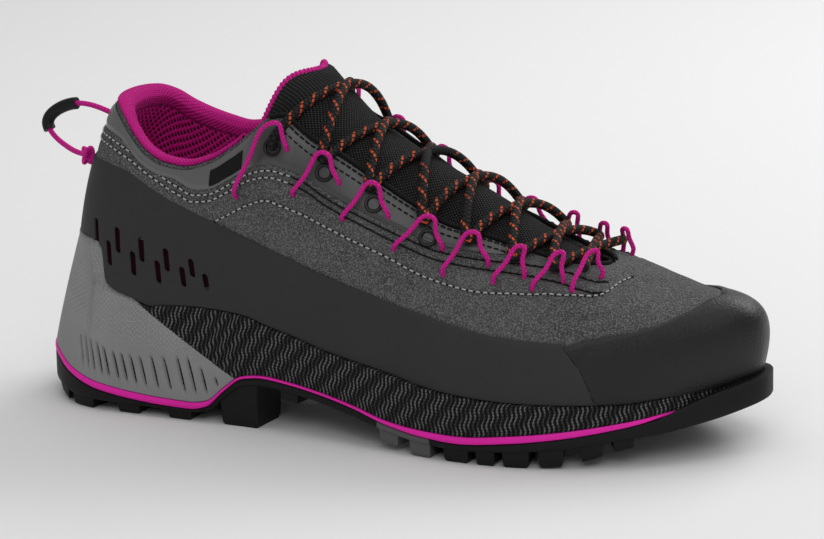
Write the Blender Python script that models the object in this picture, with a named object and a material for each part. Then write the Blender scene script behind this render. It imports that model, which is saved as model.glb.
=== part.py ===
"""Approach shoe for the right foot, standing empty and unbent on its sole.

Frame: +X to the toe, +Y to the inner side of the foot, +Z up, origin on the ground.
Sizes are in millimetres until they are placed in the scene, which is in metres.
"""
import bpy
import bmesh
import numpy as np

MM = 0.001

# driving sizes
SOLE_LENGTH = 275.0
BALL_WIDTH = 99.0
HEEL_STACK = 27.0
HEEL_HEIGHT = 85.5
UPPER_WALL = 1.8
OVERLAY = 1.0
CUP_WALL = 1.0
CLEARANCE = 0.3
INSOLE_THICKNESS = 3.5
LINING_THICKNESS = 4.5
TONGUE_THICKNESS = 5.5
LACE_DIAMETER = 3.4
LOOP_DIAMETER = 1.9
PULL_DIAMETER = 2.0
SLEEVE_DIAMETER = 4.6
EYELET_DIAMETER = 6.8
LUG_DRAFT = 0.7
BAND_SWELL = 1.2
ROUND_POWER = 2.2
HEEL_ROUND = 0.125
TOE_ROUND = 0.22
HEEL_WAY = 0.18
TOE_WAY = 0.74
THROAT_END = 0.80

# sole outline, shares of the sole length and of the ball width
PLAN = (
    # at, lateral half, medial half, centre shift
    (0.00, 0.3636, 0.3636, 0.0000),
    (0.10, 0.3636, 0.3636, 0.0000),
    (0.20, 0.3687, 0.3535, 0.0000),
    (0.30, 0.3737, 0.3182, 0.0000),
    (0.40, 0.3939, 0.2980, 0.0000),
    (0.50, 0.4394, 0.3333, 0.0000),
    (0.60, 0.4848, 0.4141, 0.0000),
    (0.65, 0.4980, 0.4545, 0.0010),
    (0.70, 0.4980, 0.4879, 0.0030),
    (0.75, 0.4808, 0.5010, 0.0061),
    (0.80, 0.4444, 0.4980, 0.0101),
    (0.85, 0.3990, 0.4747, 0.0182),
    (0.90, 0.3434, 0.4545, 0.0303),
    (0.95, 0.2727, 0.4040, 0.0455),
    (1.00, 0.2222, 0.3333, 0.0606),
)

# heights of the sole along its length, shares of the heel stack
SOLE = (
    # at, lug foot, tread sheet, line middle, line thickness, foot bed, cup top, cup inset
    (0.00, 0.1852, 0.2963, 0.7222, 0.0889, 1.0000, 2.3333, 0.1141),
    (0.03, 0.0741, 0.2296, 0.6667, 0.0926, 1.0000, 2.3333, 0.1131),
    (0.06, 0.0074, 0.1704, 0.5111, 0.0963, 0.9926, 2.3185, 0.1111),
    (0.083, 0.0000, 0.1481, 0.4222, 0.0963, 0.9852, 2.2222, 0.1051),
    (0.10, 0.0000, 0.1407, 0.3704, 0.0963, 0.9815, 1.7407, 0.0646),
    (0.15, 0.0000, 0.1333, 0.2815, 0.0963, 0.9704, 1.5704, 0.0465),
    (0.18, 0.0000, 0.1296, 0.2519, 0.0963, 0.9667, 1.4889, 0.0424),
    (0.20, 0.0000, 0.1296, 0.2370, 0.0963, 0.9630, 1.5185, 0.0404),
    (0.25, 0.0000, 0.1259, 0.2222, 0.0926, 0.9556, 1.5556, 0.0384),
    (0.275, 0.0000, 0.1704, 0.2741, 0.0741, 0.9481, 1.5519, 0.0364),
    (0.30, 0.0000, 0.3630, 0.4889, 0.0481, 0.9407, 1.5407, 0.0343),
    (0.33, 0.0000, 0.5704, 0.7000, 0.0370, 0.9296, 1.5074, 0.0323),
    (0.36, 0.0000, 0.6074, 0.7407, 0.0333, 0.9148, 1.4148, 0.0303),
    (0.40, 0.0000, 0.5741, 0.7074, 0.0333, 0.8815, 1.3185, 0.0303),
    (0.45, 0.0000, 0.5000, 0.6370, 0.0333, 0.8222, 1.1852, 0.0303),
    (0.50, 0.0000, 0.3926, 0.5370, 0.0370, 0.7481, 1.0963, 0.0303),
    (0.55, 0.0000, 0.2741, 0.4037, 0.0519, 0.6593, 1.0185, 0.0303),
    (0.60, 0.0000, 0.2000, 0.3370, 0.0815, 0.5852, 0.9111, 0.0303),
    (0.65, 0.0000, 0.1741, 0.3148, 0.0963, 0.5481, 0.8556, 0.0303),
    (0.72, 0.0000, 0.2074, 0.3778, 0.0963, 0.5481, 0.8222, 0.0303),
    (0.79, 0.0444, 0.2741, 0.4667, 0.0889, 0.6037, 0.8148, 0.0303),
    (0.86, 0.2370, 0.3778, 0.5815, 0.0704, 0.6815, 0.8074, 0.0303),
    (0.90, 0.3185, 0.4222, 0.6556, 0.0444, 0.7407, 0.8481, 0.0323),
    (0.95, 0.4667, 0.5259, 0.7185, 0.0370, 0.8074, 0.9037, 0.0444),
    (1.00, 0.6667, 0.6815, 0.7778, 0.0370, 0.8815, 0.9630, 0.0465),
)

# lip of the tread round the toe, height in heel stacks, wall in ball widths
LIP = (
    # at, top above the ground, wall, inset of what stands inside it
    (0.84, 0.4963, 0.0020, 0.0000),
    (0.88, 0.5741, 0.0020, 0.0010),
    (0.895, 0.6148, 0.0061, 0.0101),
    (0.91, 0.6889, 0.0121, 0.0172),
    (0.93, 0.7926, 0.0202, 0.0253),
    (0.95, 0.8741, 0.0283, 0.0323),
    (1.00, 1.0370, 0.0283, 0.0323),
)

# ribs of the upper, from the feather edge in the cup to the collar, throat or ridge
RIBS = (
    # at, feather inset, lean lateral, lean medial, lower pull, top slope, upper pull
    (0.00, 0.1010, 0, 0, 0.33, 62, 0.33),
    (0.05, 0.1010, 1, 1, 0.33, 64, 0.33),
    (0.10, 0.0909, 4, 4, 0.33, 72, 0.33),
    (0.20, 0.0687, 5, 6, 0.34, 80, 0.33),
    (0.30, 0.0626, 5, 10, 0.35, 78, 0.33),
    (0.36, 0.0606, 4, 13, 0.36, 70, 0.33),
    (0.42, 0.0586, 3, 14, 0.37, 62, 0.33),
    (0.50, 0.0586, 2, 11, 0.40, 55, 0.34),
    (0.60, 0.0586, 2, 6, 0.42, 42, 0.37),
    (0.70, 0.0576, 3, 3, 0.49, 26, 0.42),
    (0.78, 0.0576, 3, 3, 0.52, 8, 0.47),
    (0.80, 0.0576, 3, 3, 0.53, 3, 0.48),
    (0.85, 0.0586, 4, 4, 0.55, 2, 0.48),
    (0.90, 0.0576, 8, 8, 0.58, 2, 0.48),
    (0.95, 0.0566, 13, 13, 0.68, 2, 0.47),
    (1.00, 0.0545, 16, 16, 0.80, 2, 0.46),
)

# top edge of the upper: collar to 0.34, ear to 0.40, throat to 0.80, then the ridge
EDGE = (
    # at, forward of the middle, half width, height lateral, height medial
    (0.00, -0.3945, 0.2727, 0.9895, 0.9895),
    (0.03, -0.3804, 0.2727, 0.9848, 0.9778),
    (0.06, -0.3629, 0.2727, 0.9520, 0.9450),
    (0.09, -0.3433, 0.2727, 0.8889, 0.8959),
    (0.125, -0.3164, 0.2747, 0.8129, 0.8538),
    (0.16, -0.2909, 0.2768, 0.7766, 0.8304),
    (0.20, -0.2636, 0.2788, 0.7673, 0.8140),
    (0.25, -0.2273, 0.2788, 0.7977, 0.8363),
    (0.30, -0.1891, 0.2727, 0.8725, 0.8947),
    (0.335, -0.1618, 0.2626, 0.9450, 0.9532),
    (0.36, -0.1389, 0.2525, 1.0012, 1.0012),
    (0.38, -0.1200, 0.2444, 1.0117, 1.0117),
    (0.40, -0.1000, 0.2384, 0.9637, 0.9637),
    (0.42, -0.0800, 0.2364, 0.9170, 0.9170),
    (0.45, -0.0502, 0.2323, 0.8725, 0.8725),
    (0.50, 0.0000, 0.2263, 0.7789, 0.7789),
    (0.56, 0.0600, 0.2141, 0.6643, 0.6643),
    (0.60, 0.1000, 0.2020, 0.5965, 0.5965),
    (0.65, 0.1498, 0.1818, 0.5544, 0.5544),
    (0.70, 0.2000, 0.1535, 0.5029, 0.5029),
    (0.74, 0.2400, 0.1253, 0.4632, 0.4632),
    (0.77, 0.2691, 0.0949, 0.4444, 0.4444),
    (0.785, 0.2836, 0.0707, 0.4386, 0.4386),
    (0.795, 0.2935, 0.0424, 0.4339, 0.4339),
    (0.80, 0.2982, 0.0000, 0.4316, 0.4316),
    (0.83, 0.3200, 0.0000, 0.4117, 0.4117),
    (0.87, 0.3491, 0.0000, 0.3789, 0.3789),
    (0.91, 0.3782, 0.0000, 0.3485, 0.3485),
    (0.95, 0.4036, 0.0000, 0.3310, 0.3310),
    (0.98, 0.4200, 0.0000, 0.3240, 0.3240),
    (1.00, 0.4291, 0.0000, 0.3205, 0.3205),
)
COLLAR_ROUND = 26.0 / 275.0
LIP_FROM = 0.87

# lines on the upper, heights above the foot bed in heel heights
LINES = (
    # at, top of the rand, foot of the collar film
    (0.00, 0.7544, 0.8889),
    (0.05, 0.7520, 0.8772),
    (0.10, 0.7310, 0.8304),
    (0.13, 0.6901, 0.7836),
    (0.17, 0.6386, 0.7322),
    (0.20, 0.6105, 0.7018),
    (0.23, 0.5848, 0.6760),
    (0.26, 0.5591, 0.6854),
    (0.30, 0.5263, 0.7368),
    (0.335, 0.4959, 0.7883),
    (0.37, 0.4632, 0.8117),
    (0.40, 0.4327, 0.7906),
    (0.42, 0.4094, 0.7649),
    (0.45, 0.3813, 0.7135),
    (0.50, 0.3392, 0.6433),
    (0.56, 0.2901, 0.5661),
    (0.60, 0.2620, 0.5216),
    (0.65, 0.2292, 0.4982),
    (0.70, 0.2058, 0.4795),
    (0.75, 0.1942, 0.4515),
    (0.80, 0.1895, 0.4211),
    (1.00, 0.1895, 0.3158),
)
RAND_FRONT = (0.826, 0.774)
CAP_BACK = (0.829, 0.777)
CAP_TOP = (
    # at, share of the way up the rib
    (0.77, 0.355),
    (0.795, 0.360),
    (0.830, 0.405),
    (0.861, 0.460),
    (0.908, 0.620),
    (0.940, 0.735),
    (0.980, 0.890),
    (1.00, 0.940),
)
FILM_FRONT = 0.69
FILM_TOP = 0.98
LINING_FRONT = 0.315
LINING_FOOT = 0.38

# lugs of the tread: from, to (shares of length), inset of the outer edge, width, side
LUGS = (
    # from, to, inset, width, side, share of the way from the sheet to the ground
    (0.012, 0.050, 0.0121, 0.1212, -1, 1.0),
    (0.062, 0.100, 0.0121, 0.1313, -1, 1.0),
    (0.140, 0.172, 0.0121, 0.1414, -1, 1.0),
    (0.216, 0.250, 0.0121, 0.1414, -1, 1.0),
    (0.296, 0.350, 0.0121, 0.1717, -1, 1.0),
    (0.386, 0.412, 0.0121, 0.1010, -1, 0.25),
    (0.538, 0.566, 0.0121, 0.1212, -1, 0.65),
    (0.584, 0.614, 0.0121, 0.1414, -1, 0.95),
    (0.634, 0.668, 0.0121, 0.1414, -1, 1.0),
    (0.679, 0.704, 0.0121, 0.1414, -1, 1.0),
    (0.715, 0.749, 0.0121, 0.1414, -1, 1.0),
    (0.761, 0.792, 0.0121, 0.1313, -1, 1.0),
    (0.812, 0.838, 0.0121, 0.1212, -1, 1.0),
    (0.850, 0.872, 0.0121, 0.1111, -1, 1.0),
    (0.012, 0.050, 0.0121, 0.1212, 1, 1.0),
    (0.062, 0.100, 0.0121, 0.1313, 1, 1.0),
    (0.128, 0.162, 0.0121, 0.1414, 1, 1.0),
    (0.186, 0.222, 0.0121, 0.1414, 1, 1.0),
    (0.236, 0.268, 0.0121, 0.1515, 1, 1.0),
    (0.560, 0.590, 0.0121, 0.1212, 1, 0.8),
    (0.606, 0.640, 0.0121, 0.1414, 1, 1.0),
    (0.656, 0.690, 0.0121, 0.1515, 1, 1.0),
    (0.706, 0.740, 0.0121, 0.1515, 1, 1.0),
    (0.756, 0.790, 0.0121, 0.1515, 1, 1.0),
    (0.806, 0.838, 0.0121, 0.1414, 1, 1.0),
    (0.852, 0.880, 0.0121, 0.1212, 1, 1.0),
    (0.150, 0.190, 0.2222, 0.1212, -1, 1.0),
    (0.222, 0.262, 0.2222, 0.1414, -1, 1.0),
    (0.600, 0.632, 0.2121, 0.1212, -1, 1.0),
    (0.650, 0.684, 0.2121, 0.1212, -1, 1.0),
    (0.702, 0.736, 0.2121, 0.1212, -1, 1.0),
    (0.754, 0.786, 0.2020, 0.1212, -1, 1.0),
    (0.806, 0.834, 0.1919, 0.1212, -1, 1.0),
    (0.630, 0.664, 0.2121, 0.1313, 1, 1.0),
    (0.682, 0.716, 0.2222, 0.1313, 1, 1.0),
    (0.732, 0.764, 0.2222, 0.1313, 1, 1.0),
    (0.782, 0.812, 0.2121, 0.1212, 1, 1.0),
)

# lace loops, shares of the length at their feet and top, and of the way up the rib
LOOPS = (
    # foot, top, far foot, foot height, top height, far foot height, extra lift in millimetres
    (0.314, 0.379, 0.390, 0.745, 0.955, 0.88, 0.0),
    (0.404, 0.443, 0.464, 0.730, 0.955, 0.88, 0.0),
    (0.475, 0.507, 0.532, 0.737, 0.950, 0.87, 0.0),
    (0.547, 0.580, 0.606, 0.740, 0.945, 0.86, 0.0),
    (0.615, 0.640, 0.667, 0.727, 0.930, 0.84, 0.0),
    (0.679, 0.700, 0.712, 0.745, 0.900, 0.82, 1.2),
    (0.726, 0.748, 0.758, 0.750, 0.900, 0.82, 1.2),
    (0.772, 0.786, 0.796, 0.750, 0.900, 0.84, 1.2),
)

# how far forward the first crossings of the lace sit, shares of the sole length
CROSSING_SHIFT = (0.020, 0.008, 0.0)

# ridge of the tongue, shares of the sole length and of the heel height
TONGUE = (
    # forward of the middle, height, edge station, thickness share, share risen near the wing
    (0.3200, 0.3696, 0.812, 0.45, 0.30),
    (0.2836, 0.4023, 0.776, 0.45, 0.30),
    (0.2400, 0.4725, 0.735, 0.50, 0.30),
    (0.1891, 0.5661, 0.688, 0.55, 0.30),
    (0.1382, 0.6596, 0.636, 0.60, 0.30),
    (0.0873, 0.7415, 0.585, 0.70, 0.30),
    (0.0364, 0.8140, 0.532, 0.80, 0.32),
    (-0.0109, 0.8842, 0.480, 0.90, 0.36),
    (-0.0436, 0.9661, 0.430, 1.00, 0.46),
    (-0.0745, 1.0690, 0.375, 1.00, 0.58),
    (-0.1036, 1.1696, 0.325, 0.90, 0.70),
)

# slanted joint of cradle and midsole, shares of the length and of the heel stack
JOINT = (
    # forward of the middle, height
    (-0.1455, 0.4778),
    (-0.3229, 1.4444),
    (-0.3527, 1.6481),
    (-0.3545, 2.6667),
)

# pull loop, shares of the sole length, ball width and heel height above the heel stack
PULL = (
    # forward of the middle, across, height
    (-0.4149, -0.0303, 0.9006),
    (-0.4400, -0.0152, 0.9193),
    (-0.4655, 0.0000, 0.9263),
    (-0.4982, 0.0051, 0.9053),
    (-0.5222, 0.0000, 0.8257),
    (-0.5127, -0.0101, 0.7813),
    (-0.4945, -0.0303, 0.7509),
    (-0.4676, -0.0707, 0.7322),
    (-0.4462, -0.1061, 0.7322),
)
# first and last step of the pull loop's line that the sleeve covers
SLEEVE = (6, 13)
# middle of the knot in the same shares, and its half sizes in cord diameters
KNOT = (-0.4360, -0.1313, 0.7368)
KNOT_REACH = (1.3, 1.5, 1.7)

# eyelets, share of the length and share of the way up the rib
EYELETS = ((0.371, 0.868), (0.443, 0.884), (0.511, 0.880), (0.5845, 0.874))

# colours
RUBBER = (0.016, 0.016, 0.018, 1.0)
NUBUCK = (0.035, 0.035, 0.038, 1.0)
FILM = (0.120, 0.122, 0.126, 1.0)
KNIT = (0.020, 0.020, 0.022, 1.0)
GREY = (0.110, 0.110, 0.114, 1.0)
PINK = (0.620, 0.035, 0.270, 1.0)
BLACK = (0.012, 0.012, 0.013, 1.0)
STEEL = (0.300, 0.300, 0.310, 1.0)


class Curve:
    """Smooth line through one column of a table, in the size it is a share of."""

    def __init__(self, rows, column, size=1.0, level=False):
        table = np.array(rows, dtype=float)
        self.x = table[:, 0]
        self.y = table[:, column] * size
        step = np.diff(self.x)
        slope = np.diff(self.y) / step
        count = len(self.x)
        self.grade = np.zeros(count)
        if level:
            self.grade[0] = slope[0]
            self.grade[-1] = slope[-1]
            for i in range(1, count - 1):
                if slope[i - 1] * slope[i] > 0:
                    near = 2 * step[i] + step[i - 1]
                    far = step[i] + 2 * step[i - 1]
                    self.grade[i] = (near + far) / (near / slope[i - 1] + far / slope[i])
        else:
            band = np.zeros((count, count))
            pull = np.zeros(count)
            band[0, 0] = band[-1, -1] = 2.0
            band[0, 1] = band[-1, -2] = 1.0
            pull[0] = 3 * slope[0]
            pull[-1] = 3 * slope[-1]
            for i in range(1, count - 1):
                band[i, i - 1] = step[i]
                band[i, i] = 2 * (step[i - 1] + step[i])
                band[i, i + 1] = step[i - 1]
                pull[i] = 3 * (step[i] * slope[i - 1] + step[i - 1] * slope[i])
            self.grade = np.linalg.solve(band, pull)

    def __call__(self, at):
        at = np.clip(np.asarray(at, dtype=float), self.x[0], self.x[-1])
        i = np.clip(np.searchsorted(self.x, at, side="right") - 1, 0, len(self.x) - 2)
        width = self.x[i + 1] - self.x[i]
        t = (at - self.x[i]) / width
        start = self.y[i] * (1 + 2 * t) * (1 - t) ** 2
        start = start + self.grade[i] * width * t * (1 - t) ** 2
        end = self.y[i + 1] * t * t * (3 - 2 * t)
        return start + end - self.grade[i + 1] * width * t * t * (1 - t)


lateral_half = Curve(PLAN, 1, BALL_WIDTH)
medial_half = Curve(PLAN, 2, BALL_WIDTH)
centre_shift = Curve(PLAN, 3, BALL_WIDTH)
lug_foot = Curve(SOLE, 1, HEEL_STACK, level=True)
tread_sheet = Curve(SOLE, 2, HEEL_STACK, level=True)
line_middle = Curve(SOLE, 3, HEEL_STACK, level=True)
line_thickness = Curve(SOLE, 4, HEEL_STACK, level=True)
foot_bed = Curve(SOLE, 5, HEEL_STACK, level=True)
cup_top = Curve(SOLE, 6, HEEL_STACK, level=True)
cup_inset = Curve(SOLE, 7, BALL_WIDTH, level=True)
lip_top = Curve(LIP, 1, HEEL_STACK, level=True)
lip_wall = Curve(LIP, 2, BALL_WIDTH, level=True)
lip_inset = Curve(LIP, 3, BALL_WIDTH, level=True)
feather_inset = Curve(RIBS, 1, BALL_WIDTH)
lean_lateral = Curve(RIBS, 2)
lean_medial = Curve(RIBS, 3)
lower_pull = Curve(RIBS, 4)
top_slope = Curve(RIBS, 5)
upper_pull = Curve(RIBS, 6)
edge_forward = Curve(EDGE, 1, SOLE_LENGTH, level=True)
edge_half = Curve(EDGE, 2, BALL_WIDTH, level=True)
edge_lateral = Curve(EDGE, 3, HEEL_HEIGHT, level=True)
edge_medial = Curve(EDGE, 4, HEEL_HEIGHT, level=True)
rand_top = Curve(LINES, 1, HEEL_HEIGHT, level=True)
film_foot = Curve(LINES, 2, HEEL_HEIGHT, level=True)
cap_top = Curve(CAP_TOP, 1)


# perimeter of the sole: way 0 at the heel, -1 and 1 at the toe, negative on the lateral side
def wrap(way):
    return (np.asarray(way, dtype=float) + 1.0) % 2.0 - 1.0


def station(way):
    """Share of the sole length at a way along the perimeter."""
    way = np.abs(wrap(way))
    heel = np.cos(np.clip(way / HEEL_WAY, 0, 1) * np.pi / 2)
    toe = np.cos(np.clip((1 - way) / (1 - TOE_WAY), 0, 1) * np.pi / 2)
    heel = HEEL_ROUND * (1 - np.abs(heel) ** (2 / ROUND_POWER))
    toe = 1 - TOE_ROUND * (1 - np.abs(toe) ** (2 / ROUND_POWER))
    share = (way - HEEL_WAY) / (TOE_WAY - HEEL_WAY)
    middle = HEEL_ROUND + share * (1 - TOE_ROUND - HEEL_ROUND)
    return np.where(way < HEEL_WAY, heel, np.where(way > TOE_WAY, toe, middle))


WAYS = np.linspace(0.0, 1.0, 4001)
STATIONS = station(np.minimum(WAYS, 0.9999999))
STATIONS[-1] = 1.0


def way_of(at):
    return np.interp(at, STATIONS, WAYS)


def outline(way):
    way = wrap(way)
    side = np.where(way < 0, -1.0, 1.0)
    at = station(way)
    heel = np.clip(1 - at / HEEL_ROUND, 0, 1)
    toe = np.clip((at - 1 + TOE_ROUND) / TOE_ROUND, 0, 1)
    ends = (1 - heel ** ROUND_POWER) * (1 - toe ** ROUND_POWER)
    half = np.where(side < 0, lateral_half(at), medial_half(at))
    half = half * np.maximum(ends, 0) ** (1 / ROUND_POWER)
    return np.stack([(at - 0.5) * SOLE_LENGTH, centre_shift(at) + side * half], -1)


def outward(way):
    step = outline(way + 1e-4) - outline(way - 1e-4)
    out = np.stack([-step[..., 1], step[..., 0]], -1)
    return out / np.linalg.norm(out, axis=-1, keepdims=True)


def ring(way, inset, height):
    flat = outline(way) - outward(way) * np.asarray(inset)[..., None]
    height = np.broadcast_to(height, flat[..., 0].shape)
    return np.concatenate([flat, height[..., None]], -1)


def rib(way):
    """Four control points of the upper's rib that stands at a way."""
    way = wrap(way)
    side = np.where(way < 0, -1.0, 1.0)
    at = station(way)
    foot = ring(way, feather_inset(at), foot_bed(at) + CLEARANCE)
    forward = edge_forward(at)
    back = np.clip(1 - (forward / SOLE_LENGTH - EDGE[0][1]) / COLLAR_ROUND, 0, 1)
    half = edge_half(at) * (1 - back ** ROUND_POWER) ** (1 / ROUND_POWER)
    across = centre_shift(forward / SOLE_LENGTH + 0.5) + side * half
    height = HEEL_STACK + np.where(side < 0, edge_lateral(at), edge_medial(at))
    top = np.stack([forward, across, height], -1)
    out = np.concatenate([outward(way), np.zeros(way.shape + (1,))], -1)
    up = np.zeros_like(top)
    up[..., 2] = 1.0
    chord = np.linalg.norm(top - foot, axis=-1, keepdims=True)
    along = top - foot
    along[..., 2] = 0.0
    along = along - out * np.sum(along * out, -1, keepdims=True)
    lean = np.radians(np.where(side < 0, lean_lateral(at), lean_medial(at)))[..., None]
    slope = np.radians(top_slope(at))[..., None]
    rise = (edge_lateral(at + 0.004) - edge_lateral(at - 0.004))
    rise = rise / (edge_forward(at + 0.004) - edge_forward(at - 0.004))
    rise = (rise * -out[..., 0])[..., None]
    on_ridge = (at >= THROAT_END)[..., None]
    climb = np.where(on_ridge, rise, np.sin(slope))
    level = np.where(on_ridge, 1.0, np.cos(slope))
    low = foot + lower_pull(at)[..., None] * chord * (np.cos(lean) * up + np.sin(lean) * out)
    high = top - upper_pull(at)[..., None] * chord * (climb * up - level * out)
    return foot, low + along / 3, high - along / 3, top


def bare(way, up):
    foot, low, high, top = rib(way)
    up = np.asarray(up, dtype=float)[..., None]
    down = 1 - up
    lower = foot * down ** 3 + 3 * low * down ** 2 * up
    return lower + 3 * high * down * up ** 2 + top * up ** 3


def skin(way, up, off=0.0):
    """Point of the upper at a way and a share up the rib, moved off along the normal."""
    way, up = np.broadcast_arrays(np.asarray(way, float), np.asarray(up, float))
    point = bare(way, up)
    along = bare(way + 2e-4, up) - bare(way - 2e-4, up)
    rise = bare(way, up + 1e-3) - bare(way, up - 1e-3)
    normal = np.cross(rise, along)
    at = station(way)
    grade = edge_lateral(at + 0.004) - edge_lateral(at - 0.004)
    grade = grade / (edge_forward(at + 0.004) - edge_forward(at - 0.004))
    crest = np.stack([-grade, np.zeros_like(grade), np.ones_like(grade)], -1)
    on_ridge = ((at >= THROAT_END - 1e-9) & (up > 0.9999))[..., None]
    normal = np.where(on_ridge, crest, normal)
    normal = normal / np.linalg.norm(normal, axis=-1, keepdims=True)
    return point + normal * np.broadcast_to(off, way.shape)[..., None]


def share_at(way, height):
    """Share up the rib where it reaches a height."""
    way = np.atleast_1d(way)
    height = np.broadcast_to(height, way.shape)
    steps = np.linspace(0, 1, 81)
    rise = bare(way[:, None], steps[None, :])[..., 2]
    rise = np.maximum.accumulate(rise, axis=1)
    return np.array([np.interp(h, r, steps) for h, r in zip(height, rise)])


# meshes
def material(name, colour, roughness, metallic=0.0):
    made = bpy.data.materials.get(name) or bpy.data.materials.new(name)
    made.use_nodes = True
    shader = made.node_tree.nodes["Principled BSDF"]
    shader.inputs["Base Color"].default_value = colour
    shader.inputs["Roughness"].default_value = roughness
    shader.inputs["Metallic"].default_value = metallic
    made.diffuse_color = colour
    return made


def body(name, points, faces, made, smooth=40.0, hidden=False):
    mesh = bpy.data.meshes.new(name)
    grown = bmesh.new()
    corners = [grown.verts.new((float(x) * MM, float(y) * MM, float(z) * MM)) for x, y, z in points]
    for face in faces:
        loop = [corners[i] for i in face]
        if len(set(loop)) > 2:
            grown.faces.new(loop)
    bmesh.ops.remove_doubles(grown, verts=grown.verts[:], dist=1e-6)
    bmesh.ops.triangulate(grown, faces=grown.faces[:])
    bmesh.ops.recalc_face_normals(grown, faces=grown.faces[:])
    grown.to_mesh(mesh)
    grown.free()
    mesh.materials.append(made)
    made_object = bpy.data.objects.new(name, mesh)
    bpy.context.scene.collection.objects.link(made_object)
    if hidden:
        made_object.hide_render = True
        made_object.display_type = "WIRE"
    else:
        mesh.polygons.foreach_set("use_smooth", [True] * len(mesh.polygons))
        mesh.set_sharp_from_angle(angle=np.radians(smooth))
    return made_object


def ladder(first, count, flip=False):
    """Faces that close a ring of points from side to side."""
    faces = []
    for i in range(count // 2):
        a, b = i, i + 1
        c, d = (count - i - 1) % count, (count - i) % count
        face = [first + k for k in dict.fromkeys((a, b, c, d))]
        if len(face) > 2:
            faces.append(face[::-1] if flip else face)
    return faces


def stack(rings):
    """Closed body through rings of points, closed from side to side at both ends."""
    count = len(rings[0])
    points = np.concatenate(rings)
    faces = ladder(0, count)
    for level in range(len(rings) - 1):
        for i in range(count):
            j = (i + 1) % count
            a, b = level * count + i, level * count + j
            faces.append((a, b, b + count, a + count))
    faces += ladder((len(rings) - 1) * count, count, flip=True)
    return points, faces


def shell(outer, inner, closed=False, open_top=None):
    """Closed body between two grids of points (ways by levels)."""
    ways, levels = outer.shape[:2]
    points = np.concatenate([outer.reshape(-1, 3), inner.reshape(-1, 3)])
    half = ways * levels
    faces = []
    spans = ways if closed else ways - 1
    for i in range(spans):
        j = (i + 1) % ways
        for k in range(levels - 1):
            a, b = i * levels + k, j * levels + k
            faces.append((a, b, b + 1, a + 1))
            faces.append((a + half, a + 1 + half, b + 1 + half, b + half))
        a, b = i * levels, j * levels
        faces.append((a, a + half, b + half, b))
        if open_top is None or open_top[i]:
            a, b = a + levels - 1, b + levels - 1
            faces.append((a, b, b + half, a + half))
    if not closed:
        for i in (0, ways - 1):
            for k in range(levels - 1):
                a = i * levels + k
                faces.append((a, a + 1, a + 1 + half, a + half))
    return points, faces


def hoop(sections, closed=False):
    """Closed body through closed sections of points, ends filled."""
    count = len(sections[0])
    points = np.concatenate(sections)
    faces = []
    spans = len(sections) if closed else len(sections) - 1
    for i in range(spans):
        for k in range(count):
            m = (k + 1) % count
            a, b = i * count, ((i + 1) % len(sections)) * count
            faces.append((a + k, a + m, b + m, b + k))
    if not closed:
        faces.append(tuple(range(count))[::-1])
        last = (len(sections) - 1) * count
        faces.append(tuple(range(last, last + count)))
    return points, faces


def tube(path, radius, sides=6, closed=False):
    """Round tube along a path of points."""
    path = np.asarray(path, dtype=float)
    if closed:
        ahead = np.roll(path, -1, 0) - np.roll(path, 1, 0)
    else:
        ahead = np.gradient(path, axis=0)
    ahead = ahead / np.linalg.norm(ahead, axis=1, keepdims=True)
    upward = np.array([0.0, 0.0, 1.0])
    if abs(ahead[0] @ upward) > 0.9:
        upward = np.array([0.0, 1.0, 0.0])
    sections = []
    for point, way in zip(path, ahead):
        upward = upward - way * (upward @ way)
        upward = upward / np.linalg.norm(upward)
        side = np.cross(way, upward)
        turns = np.arange(sides) * 2 * np.pi / sides
        sections.append([point + radius * (np.cos(t) * upward + np.sin(t) * side) for t in turns])
    return hoop(sections, closed)


def smooth_path(points, steps):
    """Points spaced along a smooth line through the points given."""
    points = np.asarray(points, dtype=float)
    length = np.r_[0, np.cumsum(np.linalg.norm(np.diff(points, axis=0), axis=1))]
    rows = np.column_stack([length, points])
    at = np.linspace(0, length[-1], steps)
    return np.column_stack([Curve(rows, 1)(at), Curve(rows, 2)(at), Curve(rows, 3)(at)])


def both_sides(at):
    """Ways of one lap: the toe, the lateral side to the heel, the medial side."""
    way = way_of(np.asarray(at))
    return np.concatenate([-way[::-1], way[1:-1]])


for old in list(bpy.data.objects):
    bpy.data.objects.remove(old)

STATIONS_ALONG = (
    0.0, 0.0045, 0.018, 0.040, 0.062, 0.081, 0.092, 0.105, 0.130, 0.160, 0.190, 0.225, 0.255,
    0.275, 0.295, 0.315, 0.340, 0.370, 0.405, 0.440, 0.480, 0.520, 0.560, 0.600, 0.640, 0.680,
    0.720, 0.755, 0.775, 0.790, 0.800, 0.832, 0.865, 0.900, 0.930, 0.955, 0.978, 0.993, 1.0,
)
lap = both_sides(STATIONS_ALONG)
lap_at = station(lap)

# tread
rubber = material("rubber", RUBBER, 0.55)
in_lip = lap_at > LIP_FROM
line_foot = line_middle(lap_at) - line_thickness(lap_at) / 2
bed = line_foot - CLEARANCE
rim = np.where(in_lip, np.maximum(lip_top(lap_at), bed), bed)
sheet = tread_sheet(lap_at)
outsole_rings = [
    ring(lap, 2.2, sheet),
    ring(lap, 0.4, sheet + 0.5),
    ring(lap, 0.0, rim),
    ring(lap, 0.5 * lip_wall(lap_at) + 0.2, rim),
    ring(lap, lip_wall(lap_at) + 0.3, bed),
]
outsole = body("outsole", *stack(outsole_rings), rubber)


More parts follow.
